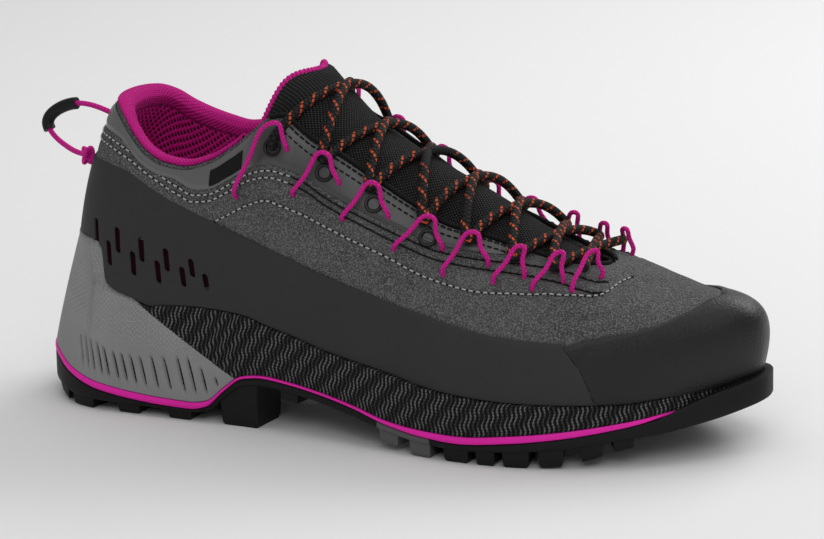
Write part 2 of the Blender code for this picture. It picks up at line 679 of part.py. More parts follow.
def lug(start, end, inset, width, side, drop):
    """Corners of one tread lug, foot first."""
    inset = inset * BALL_WIDTH
    width = width * BALL_WIDTH
    corners = []
    for draft, embed in ((LUG_DRAFT, False), (0.0, True)):
        near, far = start + draft / SOLE_LENGTH, end - draft / SOLE_LENGTH
        for at, extra in ((near, draft), (far, draft), (far, width - draft), (near, width - draft)):
            way = side * way_of(at)
            height = tread_sheet(at) + 0.6
            if not embed:
                height = tread_sheet(at) + (lug_foot(at) - tread_sheet(at)) * drop
            corners.append(ring(np.array(way), inset + extra, height))
    return corners


lug_points = []
lug_faces = []
for row in LUGS:
    first = len(lug_points)
    lug_points += lug(*row)
    lug_faces += [tuple(first + k for k in (0, 1, 2, 3)), tuple(first + k for k in (7, 6, 5, 4))]
    for k in range(4):
        m = (k + 1) % 4
        lug_faces.append((first + k, first + 4 + k, first + 4 + m, first + m))
lugs = body("tread_lugs", lug_points, lug_faces, rubber, hidden=True)
join = outsole.modifiers.new("lugs", "BOOLEAN")
join.operation = "UNION"
join.solver = "EXACT"
join.object = lugs

# foam line
line_inset = np.where(in_lip, lip_inset(lap_at), 0.0) - 0.1
line_rings = [
    ring(lap, line_inset + 0.3, line_foot),
    ring(lap, line_inset, line_foot + 0.35 * line_thickness(lap_at)),
    ring(lap, line_inset + 0.2, line_foot + line_thickness(lap_at)),
]
body("foam_line", *stack(line_rings), material("foam_line", PINK, 0.5))

# midsole cup
knit = material("knit", KNIT, 0.9)
grey = material("grey_foam", GREY, 0.6)
toe_inset = np.where(lap_at > LIP_FROM, lip_inset(lap_at), 0.0)
cup_foot = line_middle(lap_at) + line_thickness(lap_at) / 2 + CLEARANCE
cup_rim = cup_top(lap_at)
rim_inset = np.maximum(cup_inset(lap_at), toe_inset)
swell = Curve(((0.0, 0.0), (0.10, 0.3), (0.25, 1.0), (1.0, 1.0)), 1, level=True)
cup_rings = []
for share, bulge in ((0.0, 0.0), (0.10, 0.5), (0.35, 1.0), (0.62, 0.9), (0.85, 0.4), (1.0, 0.0)):
    inset = 0.4 + toe_inset + (rim_inset - toe_inset - 0.4) * share ** 1.1
    inset = inset - BAND_SWELL * bulge * np.where(lap_at > LIP_FROM, 0.0, swell(lap_at))
    height = cup_foot + (cup_rim - cup_foot) * share
    wall = skin(lap, share_at(lap, height), CLEARANCE + CUP_WALL)
    level = ring(lap, inset, height)
    short = np.sum((wall - level)[:, :2] * outward(lap), -1)
    level[:, :2] += outward(lap) * np.maximum(short, 0)[:, None]
    cup_rings.append(level)
for share in (1.0, 0.55, 0.2):
    height = foot_bed(lap_at) + (cup_rim - foot_bed(lap_at)) * share
    up = share_at(lap, height)
    cup_rings.append(skin(lap, up, CLEARANCE))
cup_rings.append(ring(lap, feather_inset(lap_at) - CLEARANCE, foot_bed(lap_at)))
cup = stack(cup_rings)
midsole = body("midsole", *cup, knit)
cradle = body("heel_cradle", *cup, grey)


def joint_cutter(name, move):
    """Block behind the slanted joint, moved forward or back."""
    line = [(x * SOLE_LENGTH + move, z * HEEL_STACK) for x, z in JOINT]
    line += [(-0.6 * SOLE_LENGTH, line[-1][1]), (-0.6 * SOLE_LENGTH, -10.0), (line[0][0], -10.0)]
    near = [(x, -BALL_WIDTH, z) for x, z in line]
    far = [(x, BALL_WIDTH, z) for x, z in line]
    return body(name, *hoop([near, far]), grey, hidden=True)


for target, name, move, operation in (
    (cradle, "cradle_block", -CLEARANCE / 2, "INTERSECT"),
    (midsole, "midsole_block", CLEARANCE / 2, "DIFFERENCE"),
):
    cut = target.modifiers.new("joint", "BOOLEAN")
    cut.operation = operation
    cut.solver = "EXACT"
    cut.object = joint_cutter(name, move)

# insole
inner_lap = lap[::2]
inner_at = station(inner_lap)
insole_inset = feather_inset(inner_at) + UPPER_WALL + 3 * CLEARANCE
insole_foot = foot_bed(inner_at) + CLEARANCE
insole_rings = [
    ring(inner_lap, insole_inset + 0.5, insole_foot),
    ring(inner_lap, insole_inset, insole_foot + 0.4 * INSOLE_THICKNESS),
    ring(inner_lap, insole_inset + 0.6, insole_foot + INSOLE_THICKNESS),
]
body("insole", *stack(insole_rings), material("insole", PINK, 0.8))

# upper
nubuck = material("nubuck", NUBUCK, 0.85)
levels = np.array((0.0, 0.15, 0.31, 0.46, 0.60, 0.73, 0.86, 1.0))
outer = skin(lap[:, None], levels[None, :], 0.0)
inner = skin(lap[:, None], levels[None, :], -UPPER_WALL)
inner[:, 0, 2] = outer[:, 0, 2]
count = len(lap)
has_edge = [
    max(lap_at[i], lap_at[(i + 1) % count]) <= THROAT_END + 1e-6 for i in range(count)
]
body("upper", *shell(outer, inner, closed=True, open_top=has_edge), nubuck)


def overlay(name, ways, low, high, rows, made, lift=0.0, thickness=OVERLAY):
    """Band laid on the upper between two lines."""
    shares = np.linspace(0, 1, rows)
    up = low[:, None] + (high - low)[:, None] * shares[None, :]
    if ways.ndim == 1:
        ways = np.repeat(ways[:, None], rows, axis=1)
    near = skin(ways, up, CLEARANCE + lift)
    far = skin(ways, up, CLEARANCE + lift + thickness)
    return body(name, *shell(far, near), made)


def end_columns(slant, at):
    """Columns from a slanted end to an upright one."""
    upright = way_of(at)
    return np.array([slant + (upright - slant) * share for share in (0.0, 0.35, 0.7, 1.0)])


# rand
rand_rows = 4
slant = way_of(np.linspace(RAND_FRONT[0], RAND_FRONT[1], rand_rows))
front = end_columns(slant, 0.745)
middle = np.sort(lap[lap_at < 0.74])
middle = np.repeat(middle[:, None], rand_rows, axis=1)
rand_grid = np.vstack([-front, middle, front[::-1]])
rand_at = station(rand_grid)
rand_low = cup_top(rand_at[:, 0]) + CLEARANCE + 0.1
rand_high = HEEL_STACK + rand_top(rand_at[:, -1])
low = share_at(rand_grid[:, 0], rand_low)
high = share_at(rand_grid[:, -1], rand_high)
overlay("rand", rand_grid, low, high, rand_rows, material("rand", RUBBER, 0.5))

# toe cap
cap_rows = 8
slant = way_of(np.linspace(CAP_BACK[0], CAP_BACK[1], cap_rows))
cap_grid = end_columns(slant, 0.865)
middle = np.sort(lap[lap_at > 0.87] % 2.0)
middle = np.repeat(middle[:, None], cap_rows, axis=1)
cap_grid = np.vstack([cap_grid, middle, 2.0 - cap_grid[::-1]])
cap_at = station(cap_grid)
cap_low = np.maximum(cup_top(cap_at[:, 0]), lip_top(cap_at[:, 0])) + CLEARANCE + 0.1
low = share_at(cap_grid[:, 0], cap_low)
overlay("toe_cap", cap_grid, low, cap_top(cap_at[:, -1]), cap_rows, material("toe_cap", RUBBER, 0.6))

# collar film and eyelet stays
film_way = np.sort(lap[lap_at <= FILM_FRONT])
film_at = station(film_way)
low = share_at(film_way, HEEL_STACK + film_foot(film_at))
low = np.minimum(low, 0.93)
overlay("collar_film", film_way, low, np.full(len(film_way), FILM_TOP), 3, material("film", FILM, 0.35))

# collar lining
lining_way = np.sort(lap[lap_at <= LINING_FRONT])
lining = []
inside = UPPER_WALL + CLEARANCE
top = skin(lining_way, 1.0, 0.0)
normal = skin(lining_way, 1.0, 1.0) - top
rise = top - skin(lining_way, 0.97, 0.0)
rise = rise / np.linalg.norm(rise, axis=1, keepdims=True)
thick = LINING_THICKNESS
for up, off in ((LINING_FOOT, -inside), (0.70, -inside), (1.0, -inside)):
    lining.append(skin(lining_way, up, off))
for out, lift in ((-inside, 0.4), (0.2, 0.4), (0.5, 1.2), (-1.2, 2.2), (-4.0, 2.3), (-6.4, 0.8)):
    lining.append(top + normal * out + rise * lift)
for up, depth in ((0.90, 1.0), (0.76, 0.9), (0.58, 0.6), (LINING_FOOT, 0.35)):
    lining.append(skin(lining_way, up, -inside - thick * depth))
sections = np.stack(lining, axis=1)
body("collar_lining", *hoop(list(sections)), material("lining", PINK, 0.85), smooth=60)

# tongue
rows = []
for forward, height, at, thick, share in TONGUE:
    forward = forward * SOLE_LENGTH
    height = HEEL_STACK + height * HEEL_HEIGHT
    ridge = np.array([forward, float(centre_shift(forward / SOLE_LENGTH + 0.5)), height])
    line = []
    for side in (-1, 1):
        way = side * way_of(at)
        reach = (0.86, 0.93) if at < THROAT_END else (0.62, 0.80)
        wing = [skin(way, up, -inside - 0.9) for up in reach]
        gain = ridge - wing[1]
        shares = ((share * 0.6, 0.18, share), (0.75, 0.52, 0.64 + share / 2))
        line.append(wing + [wing[1] + gain * np.array(row) for row in shares])
    rows.append(line[0] + [ridge] + line[1][::-1])
tongue_outer = np.array(rows)
along = np.gradient(tongue_outer, axis=0)
across = np.gradient(tongue_outer, axis=1)
normal = np.cross(across, along)
normal = normal / np.linalg.norm(normal, axis=2, keepdims=True)
if normal[4, 4, 2] < 0:
    normal = -normal
depth = np.array([0.4, 0.6, 0.8, 1.0, 1.0, 1.0, 0.8, 0.6, 0.4])[None, :, None]
depth = depth * np.array([row[3] for row in TONGUE])[:, None, None] * TONGUE_THICKNESS
tongue_inner = tongue_outer - normal * depth
tongue = body("tongue", *shell(tongue_outer, tongue_inner), material("tongue", KNIT, 0.9), smooth=60)

# lace loops
stand = CLEARANCE * 2 + OVERLAY + LOOP_DIAMETER / 2
raised = CLEARANCE * 8 + OVERLAY + LACE_DIAMETER + LOOP_DIAMETER / 2
pink_cord = material("loop_cord", PINK, 0.6)
for side, word in ((-1, "lateral"), (1, "medial")):
    for number, row in enumerate(LOOPS, 1):
        ways = side * way_of(np.array(row[:3]))
        heights = np.array(row[3:6])
        apex = raised + row[6]
        knots = [
            skin(ways[0], heights[0], stand),
            skin((ways[0] + ways[1]) / 2, (heights[0] + heights[1]) / 2, (stand + apex) / 2),
            skin(ways[1] * 0.96 + ways[0] * 0.04, heights[1], apex),
            skin(ways[1] * 0.80 + ways[2] * 0.20, heights[1], apex),
            skin((ways[2] + ways[1]) / 2, (heights[2] + heights[1]) / 2, (stand + apex) / 2),
            skin(ways[2], heights[2], stand),
        ]
        path = smooth_path(knots, 8)
        body("lace_loop_%s_%d" % (word, number), *tube(path, LOOP_DIAMETER / 2, 5), pink_cord)

# laces, turning inside each loop and crossing on the tongue
turns = {}
for side in (-1, 1):
    for number, row in enumerate(LOOPS, 1):
        way = side * way_of(row[1] + 0.004)
        turns[side, number] = skin(way, row[4] - 0.015, CLEARANCE * 5 + OVERLAY + LACE_DIAMETER / 2)
ridge_line = Curve(sorted((row[0] * SOLE_LENGTH, row[1] * HEEL_HEIGHT) for row in TONGUE), 1)
edge_line = Curve([(row[1] * SOLE_LENGTH, row[3] * HEEL_HEIGHT) for row in EDGE[17:]], 1)
lace_rise = 4 * CLEARANCE + LACE_DIAMETER / 2


def strand(start, end, shift):
    shares = np.linspace(0, 1, 9)[:, None]
    path = start + (end - start) * shares
    middle = (start + end) / 2
    middle[0] += shift
    path[:, 0] += shift * (1 - (1 - 2 * shares[:, 0]) ** 2)
    crest = max(float(ridge_line(middle[0])), float(edge_line(middle[0]))) + HEEL_STACK + lace_rise
    fall = np.abs(1 - 2 * shares[:, 0]) ** 4.4
    base = np.where(shares[:, 0] < 0.5, start[2], end[2])
    path[:, 2] = crest - (crest - base) * fall
    return path


laced = []
for first in (-1, 1):
    path = []
    side = first
    for number in range(1, len(LOOPS)):
        shift = CROSSING_SHIFT[min(number, len(CROSSING_SHIFT)) - 1] * SOLE_LENGTH
        path.append(strand(turns[side, number], turns[-side, number + 1], shift)[:-1])
        side = -side
    path.append(turns[side, len(LOOPS)][None, :])
    laced.append(np.concatenate(path))
cord = material("lace", BLACK, 0.8)
laces = body("laces", *tube(laced[0], LACE_DIAMETER / 2, 5), cord)
other = body("lace_other", *tube(laced[1], LACE_DIAMETER / 2, 5), cord, hidden=True)
join = laces.modifiers.new("crossing", "BOOLEAN")
join.operation = "UNION"
join.solver = "EXACT"
join.object = other

# pull loop at the heel
pull_line = [
    (x * SOLE_LENGTH, y * BALL_WIDTH, HEEL_STACK + z * HEEL_HEIGHT)
    for x, y, z in PULL
]
path = smooth_path(pull_line, 21)
body("pull_cord", *tube(path, PULL_DIAMETER / 2, 6), pink_cord)

# sleeve on the pull loop, a bent tube the cord runs through
bend = path[SLEEVE[0]:SLEEVE[1]]
ahead = np.gradient(bend, axis=0)
ahead = ahead / np.linalg.norm(ahead, axis=1, keepdims=True)
across = np.array([0.0, 1.0, 0.0])
sections = []
for point, way in zip(bend, ahead):
    upward = np.cross(way, across)
    upward = upward / np.linalg.norm(upward)
    side = np.cross(way, upward)
    turns = np.arange(8) * np.pi / 4
    sections.append([np.cos(t) * upward + np.sin(t) * side for t in turns])
sections = np.array(sections)
bore = bend[:, None, :] + sections * (PULL_DIAMETER / 2 + CLEARANCE)
cover = bend[:, None, :] + sections * SLEEVE_DIAMETER / 2


def pipe(outer, inner):
    """Closed wall between two tubes of points."""
    rows, count = outer.shape[:2]
    points = np.concatenate([outer.reshape(-1, 3), inner.reshape(-1, 3)])
    half = rows * count
    faces = []
    for k in range(count):
        m = (k + 1) % count
        for i in range(rows - 1):
            a, b = i * count + k, i * count + m
            faces.append((a, b, b + count, a + count))
            faces.append((a + half, a + count + half, b + count + half, b + half))
        last = (rows - 1) * count
        faces.append((k, k + half, m + half, m))
        faces.append((last + k, last + m, last + m + half, last + k + half))
    return points, faces


sleeve_made = material("sleeve", BLACK, 0.7)
body("pull_sleeve", *pipe(cover, bore), sleeve_made)

# knot where the pull loop enters the heel
knot_middle = (
    KNOT[0] * SOLE_LENGTH,
    KNOT[1] * BALL_WIDTH,
    HEEL_STACK + KNOT[2] * HEEL_HEIGHT,
)
sections = []
for level in np.linspace(-0.96, 0.96, 7):
    size = np.sqrt(1 - level * level)
    turns = np.arange(8) * np.pi / 4
    sections.append([
        (
            knot_middle[0] + KNOT_REACH[0] * PULL_DIAMETER * size * np.cos(t),
            knot_middle[1] + KNOT_REACH[1] * PULL_DIAMETER * size * np.sin(t),
            knot_middle[2] + KNOT_REACH[2] * PULL_DIAMETER * level,
        )
        for t in turns
    ])
body("pull_knot", *hoop(sections), pink_cord, smooth=60)

# eyelets under the laces
steel = material("eyelet", STEEL, 0.4, 0.6)
for side, word in ((-1, "lateral"), (1, "medial")):
    for number, (at, up) in enumerate(EYELETS, 1):
        way = side * way_of(at)
        centre = skin(way, up, 2 * CLEARANCE + OVERLAY)
        normal = skin(way, up, 3 * CLEARANCE + OVERLAY) - centre
        normal = normal / np.linalg.norm(normal)
        east = np.cross(normal, (0.0, 1.0, 0.0))
        east = east / np.linalg.norm(east)
        north = np.cross(normal, east)
        rings = []
        for width, lift in ((0.30, 0.0), (0.50, 0.0), (0.44, 0.7), (0.34, 0.7)):
            reach = width * EYELET_DIAMETER
            turns = np.arange(8) * np.pi / 4
            rings.append([
                centre + reach * (np.cos(t) * east + np.sin(t) * north) + normal * lift
                for t in turns
            ])
        rings = np.array(rings)
        body("eyelet_%s_%d" % (word, number), *hoop(list(rings.transpose(1, 0, 2)), closed=True), steel)
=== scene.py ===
"""Looks of the approach shoe: fine skins, knit, stitches, laces and light round its frame.

Frame: +X to the toe, +Y to the inner side of the foot, +Z up, origin on the ground.
Sizes are in millimetres until they are placed in the scene, which is in metres.
"""
import math

import bmesh
import bpy
import numpy as np
from mathutils import Matrix, Vector


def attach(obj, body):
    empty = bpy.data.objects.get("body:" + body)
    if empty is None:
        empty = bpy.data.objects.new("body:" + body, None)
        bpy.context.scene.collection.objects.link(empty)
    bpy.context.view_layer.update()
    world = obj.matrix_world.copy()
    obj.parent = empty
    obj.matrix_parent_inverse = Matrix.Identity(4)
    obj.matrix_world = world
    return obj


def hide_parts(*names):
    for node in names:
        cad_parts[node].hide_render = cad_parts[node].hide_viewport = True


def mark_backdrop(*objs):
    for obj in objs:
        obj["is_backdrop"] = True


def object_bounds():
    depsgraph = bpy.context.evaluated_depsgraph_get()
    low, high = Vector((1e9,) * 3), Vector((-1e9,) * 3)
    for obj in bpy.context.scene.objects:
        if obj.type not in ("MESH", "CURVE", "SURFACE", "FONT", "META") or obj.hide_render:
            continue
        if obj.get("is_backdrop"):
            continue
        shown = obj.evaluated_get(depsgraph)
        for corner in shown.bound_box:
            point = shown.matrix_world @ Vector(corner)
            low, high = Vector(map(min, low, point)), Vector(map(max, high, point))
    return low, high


bl_info = {
    "name": "Approach shoe",
    "version": (1, 0, 0),
    "blender": (4, 5, 0),
    "location": "View3D > Sidebar > Shoe",
    "description": "Builds the looks of an approach shoe round its frame",
    "category": "Object",
}

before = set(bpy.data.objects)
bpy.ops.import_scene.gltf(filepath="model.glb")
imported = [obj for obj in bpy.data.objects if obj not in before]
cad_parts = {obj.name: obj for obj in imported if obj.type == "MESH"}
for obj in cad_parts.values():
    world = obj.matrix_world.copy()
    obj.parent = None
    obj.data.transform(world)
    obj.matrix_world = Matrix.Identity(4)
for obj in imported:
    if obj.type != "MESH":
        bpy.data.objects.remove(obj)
MM = 0.001

# driving sizes
SOLE_LENGTH = 275.0
BALL_WIDTH = 99.0
HEEL_STACK = 27.0
HEEL_HEIGHT = 85.5
UPPER_WALL = 1.8
OVERLAY = 1.0
CUP_WALL = 1.0
CLEARANCE = 0.3
INSOLE_THICKNESS = 3.5
LINING_THICKNESS = 4.5
TONGUE_THICKNESS = 5.5
LACE_DIAMETER = 3.4
LOOP_DIAMETER = 1.9
PULL_DIAMETER = 2.0
SLEEVE_DIAMETER = 4.6
EYELET_DIAMETER = 6.8
BAND_SWELL = 1.2
ROUND_POWER = 2.2
HEEL_ROUND = 0.125
TOE_ROUND = 0.22
HEEL_WAY = 0.18
TOE_WAY = 0.74
THROAT_END = 0.80

# sole outline, shares of the sole length and of the ball width
PLAN = (
    # at, lateral half, medial half, centre shift
    (0.00, 0.3636, 0.3636, 0.0000),
    (0.10, 0.3636, 0.3636, 0.0000),
    (0.20, 0.3687, 0.3535, 0.0000),
    (0.30, 0.3737, 0.3182, 0.0000),
    (0.40, 0.3939, 0.2980, 0.0000),
    (0.50, 0.4394, 0.3333, 0.0000),
    (0.60, 0.4848, 0.4141, 0.0000),
    (0.65, 0.4980, 0.4545, 0.0010),
    (0.70, 0.4980, 0.4879, 0.0030),
    (0.75, 0.4808, 0.5010, 0.0061),
    (0.80, 0.4444, 0.4980, 0.0101),
    (0.85, 0.3990, 0.4747, 0.0182),
    (0.90, 0.3434, 0.4545, 0.0303),
    (0.95, 0.2727, 0.4040, 0.0455),
    (1.00, 0.2222, 0.3333, 0.0606),
)

# heights of the sole along its length, shares of the heel stack
SOLE = (
    # at, lug foot, tread sheet, line middle, line thickness, foot bed, cup top, cup inset
    (0.00, 0.1852, 0.2963, 0.7222, 0.0889, 1.0000, 2.3333, 0.1141),
    (0.03, 0.0741, 0.2296, 0.6667, 0.0926, 1.0000, 2.3333, 0.1131),
    (0.06, 0.0074, 0.1704, 0.5111, 0.0963, 0.9926, 2.3185, 0.1111),
    (0.083, 0.0000, 0.1481, 0.4222, 0.0963, 0.9852, 2.2222, 0.1051),
    (0.10, 0.0000, 0.1407, 0.3704, 0.0963, 0.9815, 1.7407, 0.0646),
    (0.15, 0.0000, 0.1333, 0.2815, 0.0963, 0.9704, 1.5704, 0.0465),
    (0.18, 0.0000, 0.1296, 0.2519, 0.0963, 0.9667, 1.4889, 0.0424),
    (0.20, 0.0000, 0.1296, 0.2370, 0.0963, 0.9630, 1.5185, 0.0404),
    (0.25, 0.0000, 0.1259, 0.2222, 0.0926, 0.9556, 1.5556, 0.0384),
    (0.275, 0.0000, 0.1704, 0.2741, 0.0741, 0.9481, 1.5519, 0.0364),
    (0.30, 0.0000, 0.3630, 0.4889, 0.0481, 0.9407, 1.5407, 0.0343),
    (0.33, 0.0000, 0.5704, 0.7000, 0.0370, 0.9296, 1.5074, 0.0323),
    (0.36, 0.0000, 0.6074, 0.7407, 0.0333, 0.9148, 1.4148, 0.0303),
    (0.40, 0.0000, 0.5741, 0.7074, 0.0333, 0.8815, 1.3185, 0.0303),
    (0.45, 0.0000, 0.5000, 0.6370, 0.0333, 0.8222, 1.1852, 0.0303),
    (0.50, 0.0000, 0.3926, 0.5370, 0.0370, 0.7481, 1.0963, 0.0303),
    (0.55, 0.0000, 0.2741, 0.4037, 0.0519, 0.6593, 1.0185, 0.0303),
    (0.60, 0.0000, 0.2000, 0.3370, 0.0815, 0.5852, 0.9111, 0.0303),
    (0.65, 0.0000, 0.1741, 0.3148, 0.0963, 0.5481, 0.8556, 0.0303),
    (0.72, 0.0000, 0.2074, 0.3778, 0.0963, 0.5481, 0.8222, 0.0303),
    (0.79, 0.0444, 0.2741, 0.4667, 0.0889, 0.6037, 0.8148, 0.0303),
    (0.86, 0.2370, 0.3778, 0.5815, 0.0704, 0.6815, 0.8074, 0.0303),
    (0.90, 0.3185, 0.4222, 0.6556, 0.0444, 0.7407, 0.8481, 0.0323),
    (0.95, 0.4667, 0.5259, 0.7185, 0.0370, 0.8074, 0.9037, 0.0444),
    (1.00, 0.6667, 0.6815, 0.7778, 0.0370, 0.8815, 0.9630, 0.0465),
)

# lip of the tread round the toe, height in heel stacks, wall in ball widths
LIP = (
    # at, top above the ground, wall, inset of what stands inside it
    (0.84, 0.4963, 0.0020, 0.0000),
    (0.88, 0.5741, 0.0020, 0.0010),
    (0.895, 0.6148, 0.0061, 0.0101),
    (0.91, 0.6889, 0.0121, 0.0172),
    (0.93, 0.7926, 0.0202, 0.0253),
    (0.95, 0.8741, 0.0283, 0.0323),
    (1.00, 1.0370, 0.0283, 0.0323),
)

# ribs of the upper, from the feather edge in the cup to the collar, throat or ridge
RIBS = (
    # at, feather inset, lean lateral, lean medial, lower pull, top slope, upper pull
    (0.00, 0.1010, 0, 0, 0.33, 62, 0.33),
    (0.05, 0.1010, 1, 1, 0.33, 64, 0.33),
    (0.10, 0.0909, 4, 4, 0.33, 72, 0.33),
    (0.20, 0.0687, 5, 6, 0.34, 80, 0.33),
    (0.30, 0.0626, 5, 10, 0.35, 78, 0.33),
    (0.36, 0.0606, 4, 13, 0.36, 70, 0.33),
    (0.42, 0.0586, 3, 14, 0.37, 62, 0.33),
    (0.50, 0.0586, 2, 11, 0.40, 55, 0.34),
    (0.60, 0.0586, 2, 6, 0.42, 42, 0.37),
    (0.70, 0.0576, 3, 3, 0.49, 26, 0.42),
    (0.78, 0.0576, 3, 3, 0.52, 8, 0.47),
    (0.80, 0.0576, 3, 3, 0.53, 3, 0.48),
    (0.85, 0.0586, 4, 4, 0.55, 2, 0.48),
    (0.90, 0.0576, 8, 8, 0.58, 2, 0.48),
    (0.95, 0.0566, 13, 13, 0.68, 2, 0.47),
    (1.00, 0.0545, 16, 16, 0.80, 2, 0.46),
)

# top edge of the upper: collar to 0.34, ear to 0.40, throat to 0.80, then the ridge
EDGE = (
    # at, forward of the middle, half width, height lateral, height medial
    (0.00, -0.3945, 0.2727, 0.9895, 0.9895),
    (0.03, -0.3804, 0.2727, 0.9848, 0.9778),
    (0.06, -0.3629, 0.2727, 0.9520, 0.9450),
    (0.09, -0.3433, 0.2727, 0.8889, 0.8959),
    (0.125, -0.3164, 0.2747, 0.8129, 0.8538),
    (0.16, -0.2909, 0.2768, 0.7766, 0.8304),
    (0.20, -0.2636, 0.2788, 0.7673, 0.8140),
    (0.25, -0.2273, 0.2788, 0.7977, 0.8363),
    (0.30, -0.1891, 0.2727, 0.8725, 0.8947),
    (0.335, -0.1618, 0.2626, 0.9450, 0.9532),
    (0.36, -0.1389, 0.2525, 1.0012, 1.0012),
    (0.38, -0.1200, 0.2444, 1.0117, 1.0117),
    (0.40, -0.1000, 0.2384, 0.9637, 0.9637),
    (0.42, -0.0800, 0.2364, 0.9170, 0.9170),
    (0.45, -0.0502, 0.2323, 0.8725, 0.8725),
    (0.50, 0.0000, 0.2263, 0.7789, 0.7789),
    (0.56, 0.0600, 0.2141, 0.6643, 0.6643),
    (0.60, 0.1000, 0.2020, 0.5965, 0.5965),
    (0.65, 0.1498, 0.1818, 0.5544, 0.5544),
    (0.70, 0.2000, 0.1535, 0.5029, 0.5029),
    (0.74, 0.2400, 0.1253, 0.4632, 0.4632),
    (0.77, 0.2691, 0.0949, 0.4444, 0.4444),
    (0.785, 0.2836, 0.0707, 0.4386, 0.4386),
    (0.795, 0.2935, 0.0424, 0.4339, 0.4339),
    (0.80, 0.2982, 0.0000, 0.4316, 0.4316),
    (0.83, 0.3200, 0.0000, 0.4117, 0.4117),
    (0.87, 0.3491, 0.0000, 0.3789, 0.3789),
    (0.91, 0.3782, 0.0000, 0.3485, 0.3485),
    (0.95, 0.4036, 0.0000, 0.3310, 0.3310),
    (0.98, 0.4200, 0.0000, 0.3240, 0.3240),
    (1.00, 0.4291, 0.0000, 0.3205, 0.3205),
)
COLLAR_ROUND = 26.0 / 275.0
LIP_FROM = 0.87

# lines on the upper, heights above the foot bed in heel heights
LINES = (
    # at, top of the rand, foot of the collar film
    (0.00, 0.7544, 0.8889),
    (0.05, 0.7520, 0.8772),
    (0.10, 0.7310, 0.8304),
    (0.13, 0.6901, 0.7836),
    (0.17, 0.6386, 0.7322),
    (0.20, 0.6105, 0.7018),
    (0.23, 0.5848, 0.6760),
    (0.26, 0.5591, 0.6854),
    (0.30, 0.5263, 0.7368),
    (0.335, 0.4959, 0.7883),
    (0.37, 0.4632, 0.8117),
    (0.40, 0.4327, 0.7906),
    (0.42, 0.4094, 0.7649),
    (0.45, 0.3813, 0.7135),
    (0.50, 0.3392, 0.6433),
    (0.56, 0.2901, 0.5661),
    (0.60, 0.2620, 0.5216),
    (0.65, 0.2292, 0.4982),
    (0.70, 0.2058, 0.4795),
    (0.75, 0.1942, 0.4515),
    (0.80, 0.1895, 0.4211),
    (1.00, 0.1895, 0.3158),
)
RAND_FRONT = (0.826, 0.774)
CAP_BACK = (0.829, 0.777)
CAP_TOP = (
    # at, share of the way up the rib
    (0.77, 0.355),
    (0.795, 0.360),
    (0.830, 0.405),
    (0.861, 0.460),
    (0.908, 0.620),
    (0.940, 0.735),
    (0.980, 0.890),
    (1.00, 0.940),
)
FILM_FRONT = 0.69
FILM_TOP = 0.98
LINING_FRONT = 0.315
LINING_FOOT = 0.38

# lugs of the tread: from, to (shares of length), inset of the outer edge, width, side
LUGS = (
    # from, to, inset, width, side, share of the way from the sheet to the ground
    (0.012, 0.050, 0.0121, 0.1212, -1, 1.0),
    (0.062, 0.100, 0.0121, 0.1313, -1, 1.0),
    (0.140, 0.172, 0.0121, 0.1414, -1, 1.0),
    (0.216, 0.250, 0.0121, 0.1414, -1, 1.0),
    (0.296, 0.350, 0.0121, 0.1717, -1, 1.0),
    (0.386, 0.412, 0.0121, 0.1010, -1, 0.25),
    (0.538, 0.566, 0.0121, 0.1212, -1, 0.65),
    (0.584, 0.614, 0.0121, 0.1414, -1, 0.95),
    (0.634, 0.668, 0.0121, 0.1414, -1, 1.0),
    (0.679, 0.704, 0.0121, 0.1414, -1, 1.0),
    (0.715, 0.749, 0.0121, 0.1414, -1, 1.0),
    (0.761, 0.792, 0.0121, 0.1313, -1, 1.0),
    (0.812, 0.838, 0.0121, 0.1212, -1, 1.0),
    (0.850, 0.872, 0.0121, 0.1111, -1, 1.0),
    (0.012, 0.050, 0.0121, 0.1212, 1, 1.0),
    (0.062, 0.100, 0.0121, 0.1313, 1, 1.0),
    (0.128, 0.162, 0.0121, 0.1414, 1, 1.0),
    (0.186, 0.222, 0.0121, 0.1414, 1, 1.0),
    (0.236, 0.268, 0.0121, 0.1515, 1, 1.0),
    (0.560, 0.590, 0.0121, 0.1212, 1, 0.8),
    (0.606, 0.640, 0.0121, 0.1414, 1, 1.0),
    (0.656, 0.690, 0.0121, 0.1515, 1, 1.0),
    (0.706, 0.740, 0.0121, 0.1515, 1, 1.0),
    (0.756, 0.790, 0.0121, 0.1515, 1, 1.0),
    (0.806, 0.838, 0.0121, 0.1414, 1, 1.0),
    (0.852, 0.880, 0.0121, 0.1212, 1, 1.0),
    (0.150, 0.190, 0.2222, 0.1212, -1, 1.0),
    (0.222, 0.262, 0.2222, 0.1414, -1, 1.0),
    (0.600, 0.632, 0.2121, 0.1212, -1, 1.0),
    (0.650, 0.684, 0.2121, 0.1212, -1, 1.0),
    (0.702, 0.736, 0.2121, 0.1212, -1, 1.0),
    (0.754, 0.786, 0.2020, 0.1212, -1, 1.0),
    (0.806, 0.834, 0.1919, 0.1212, -1, 1.0),
    (0.630, 0.664, 0.2121, 0.1313, 1, 1.0),
    (0.682, 0.716, 0.2222, 0.1313, 1, 1.0),
    (0.732, 0.764, 0.2222, 0.1313, 1, 1.0),
    (0.782, 0.812, 0.2121, 0.1212, 1, 1.0),
)

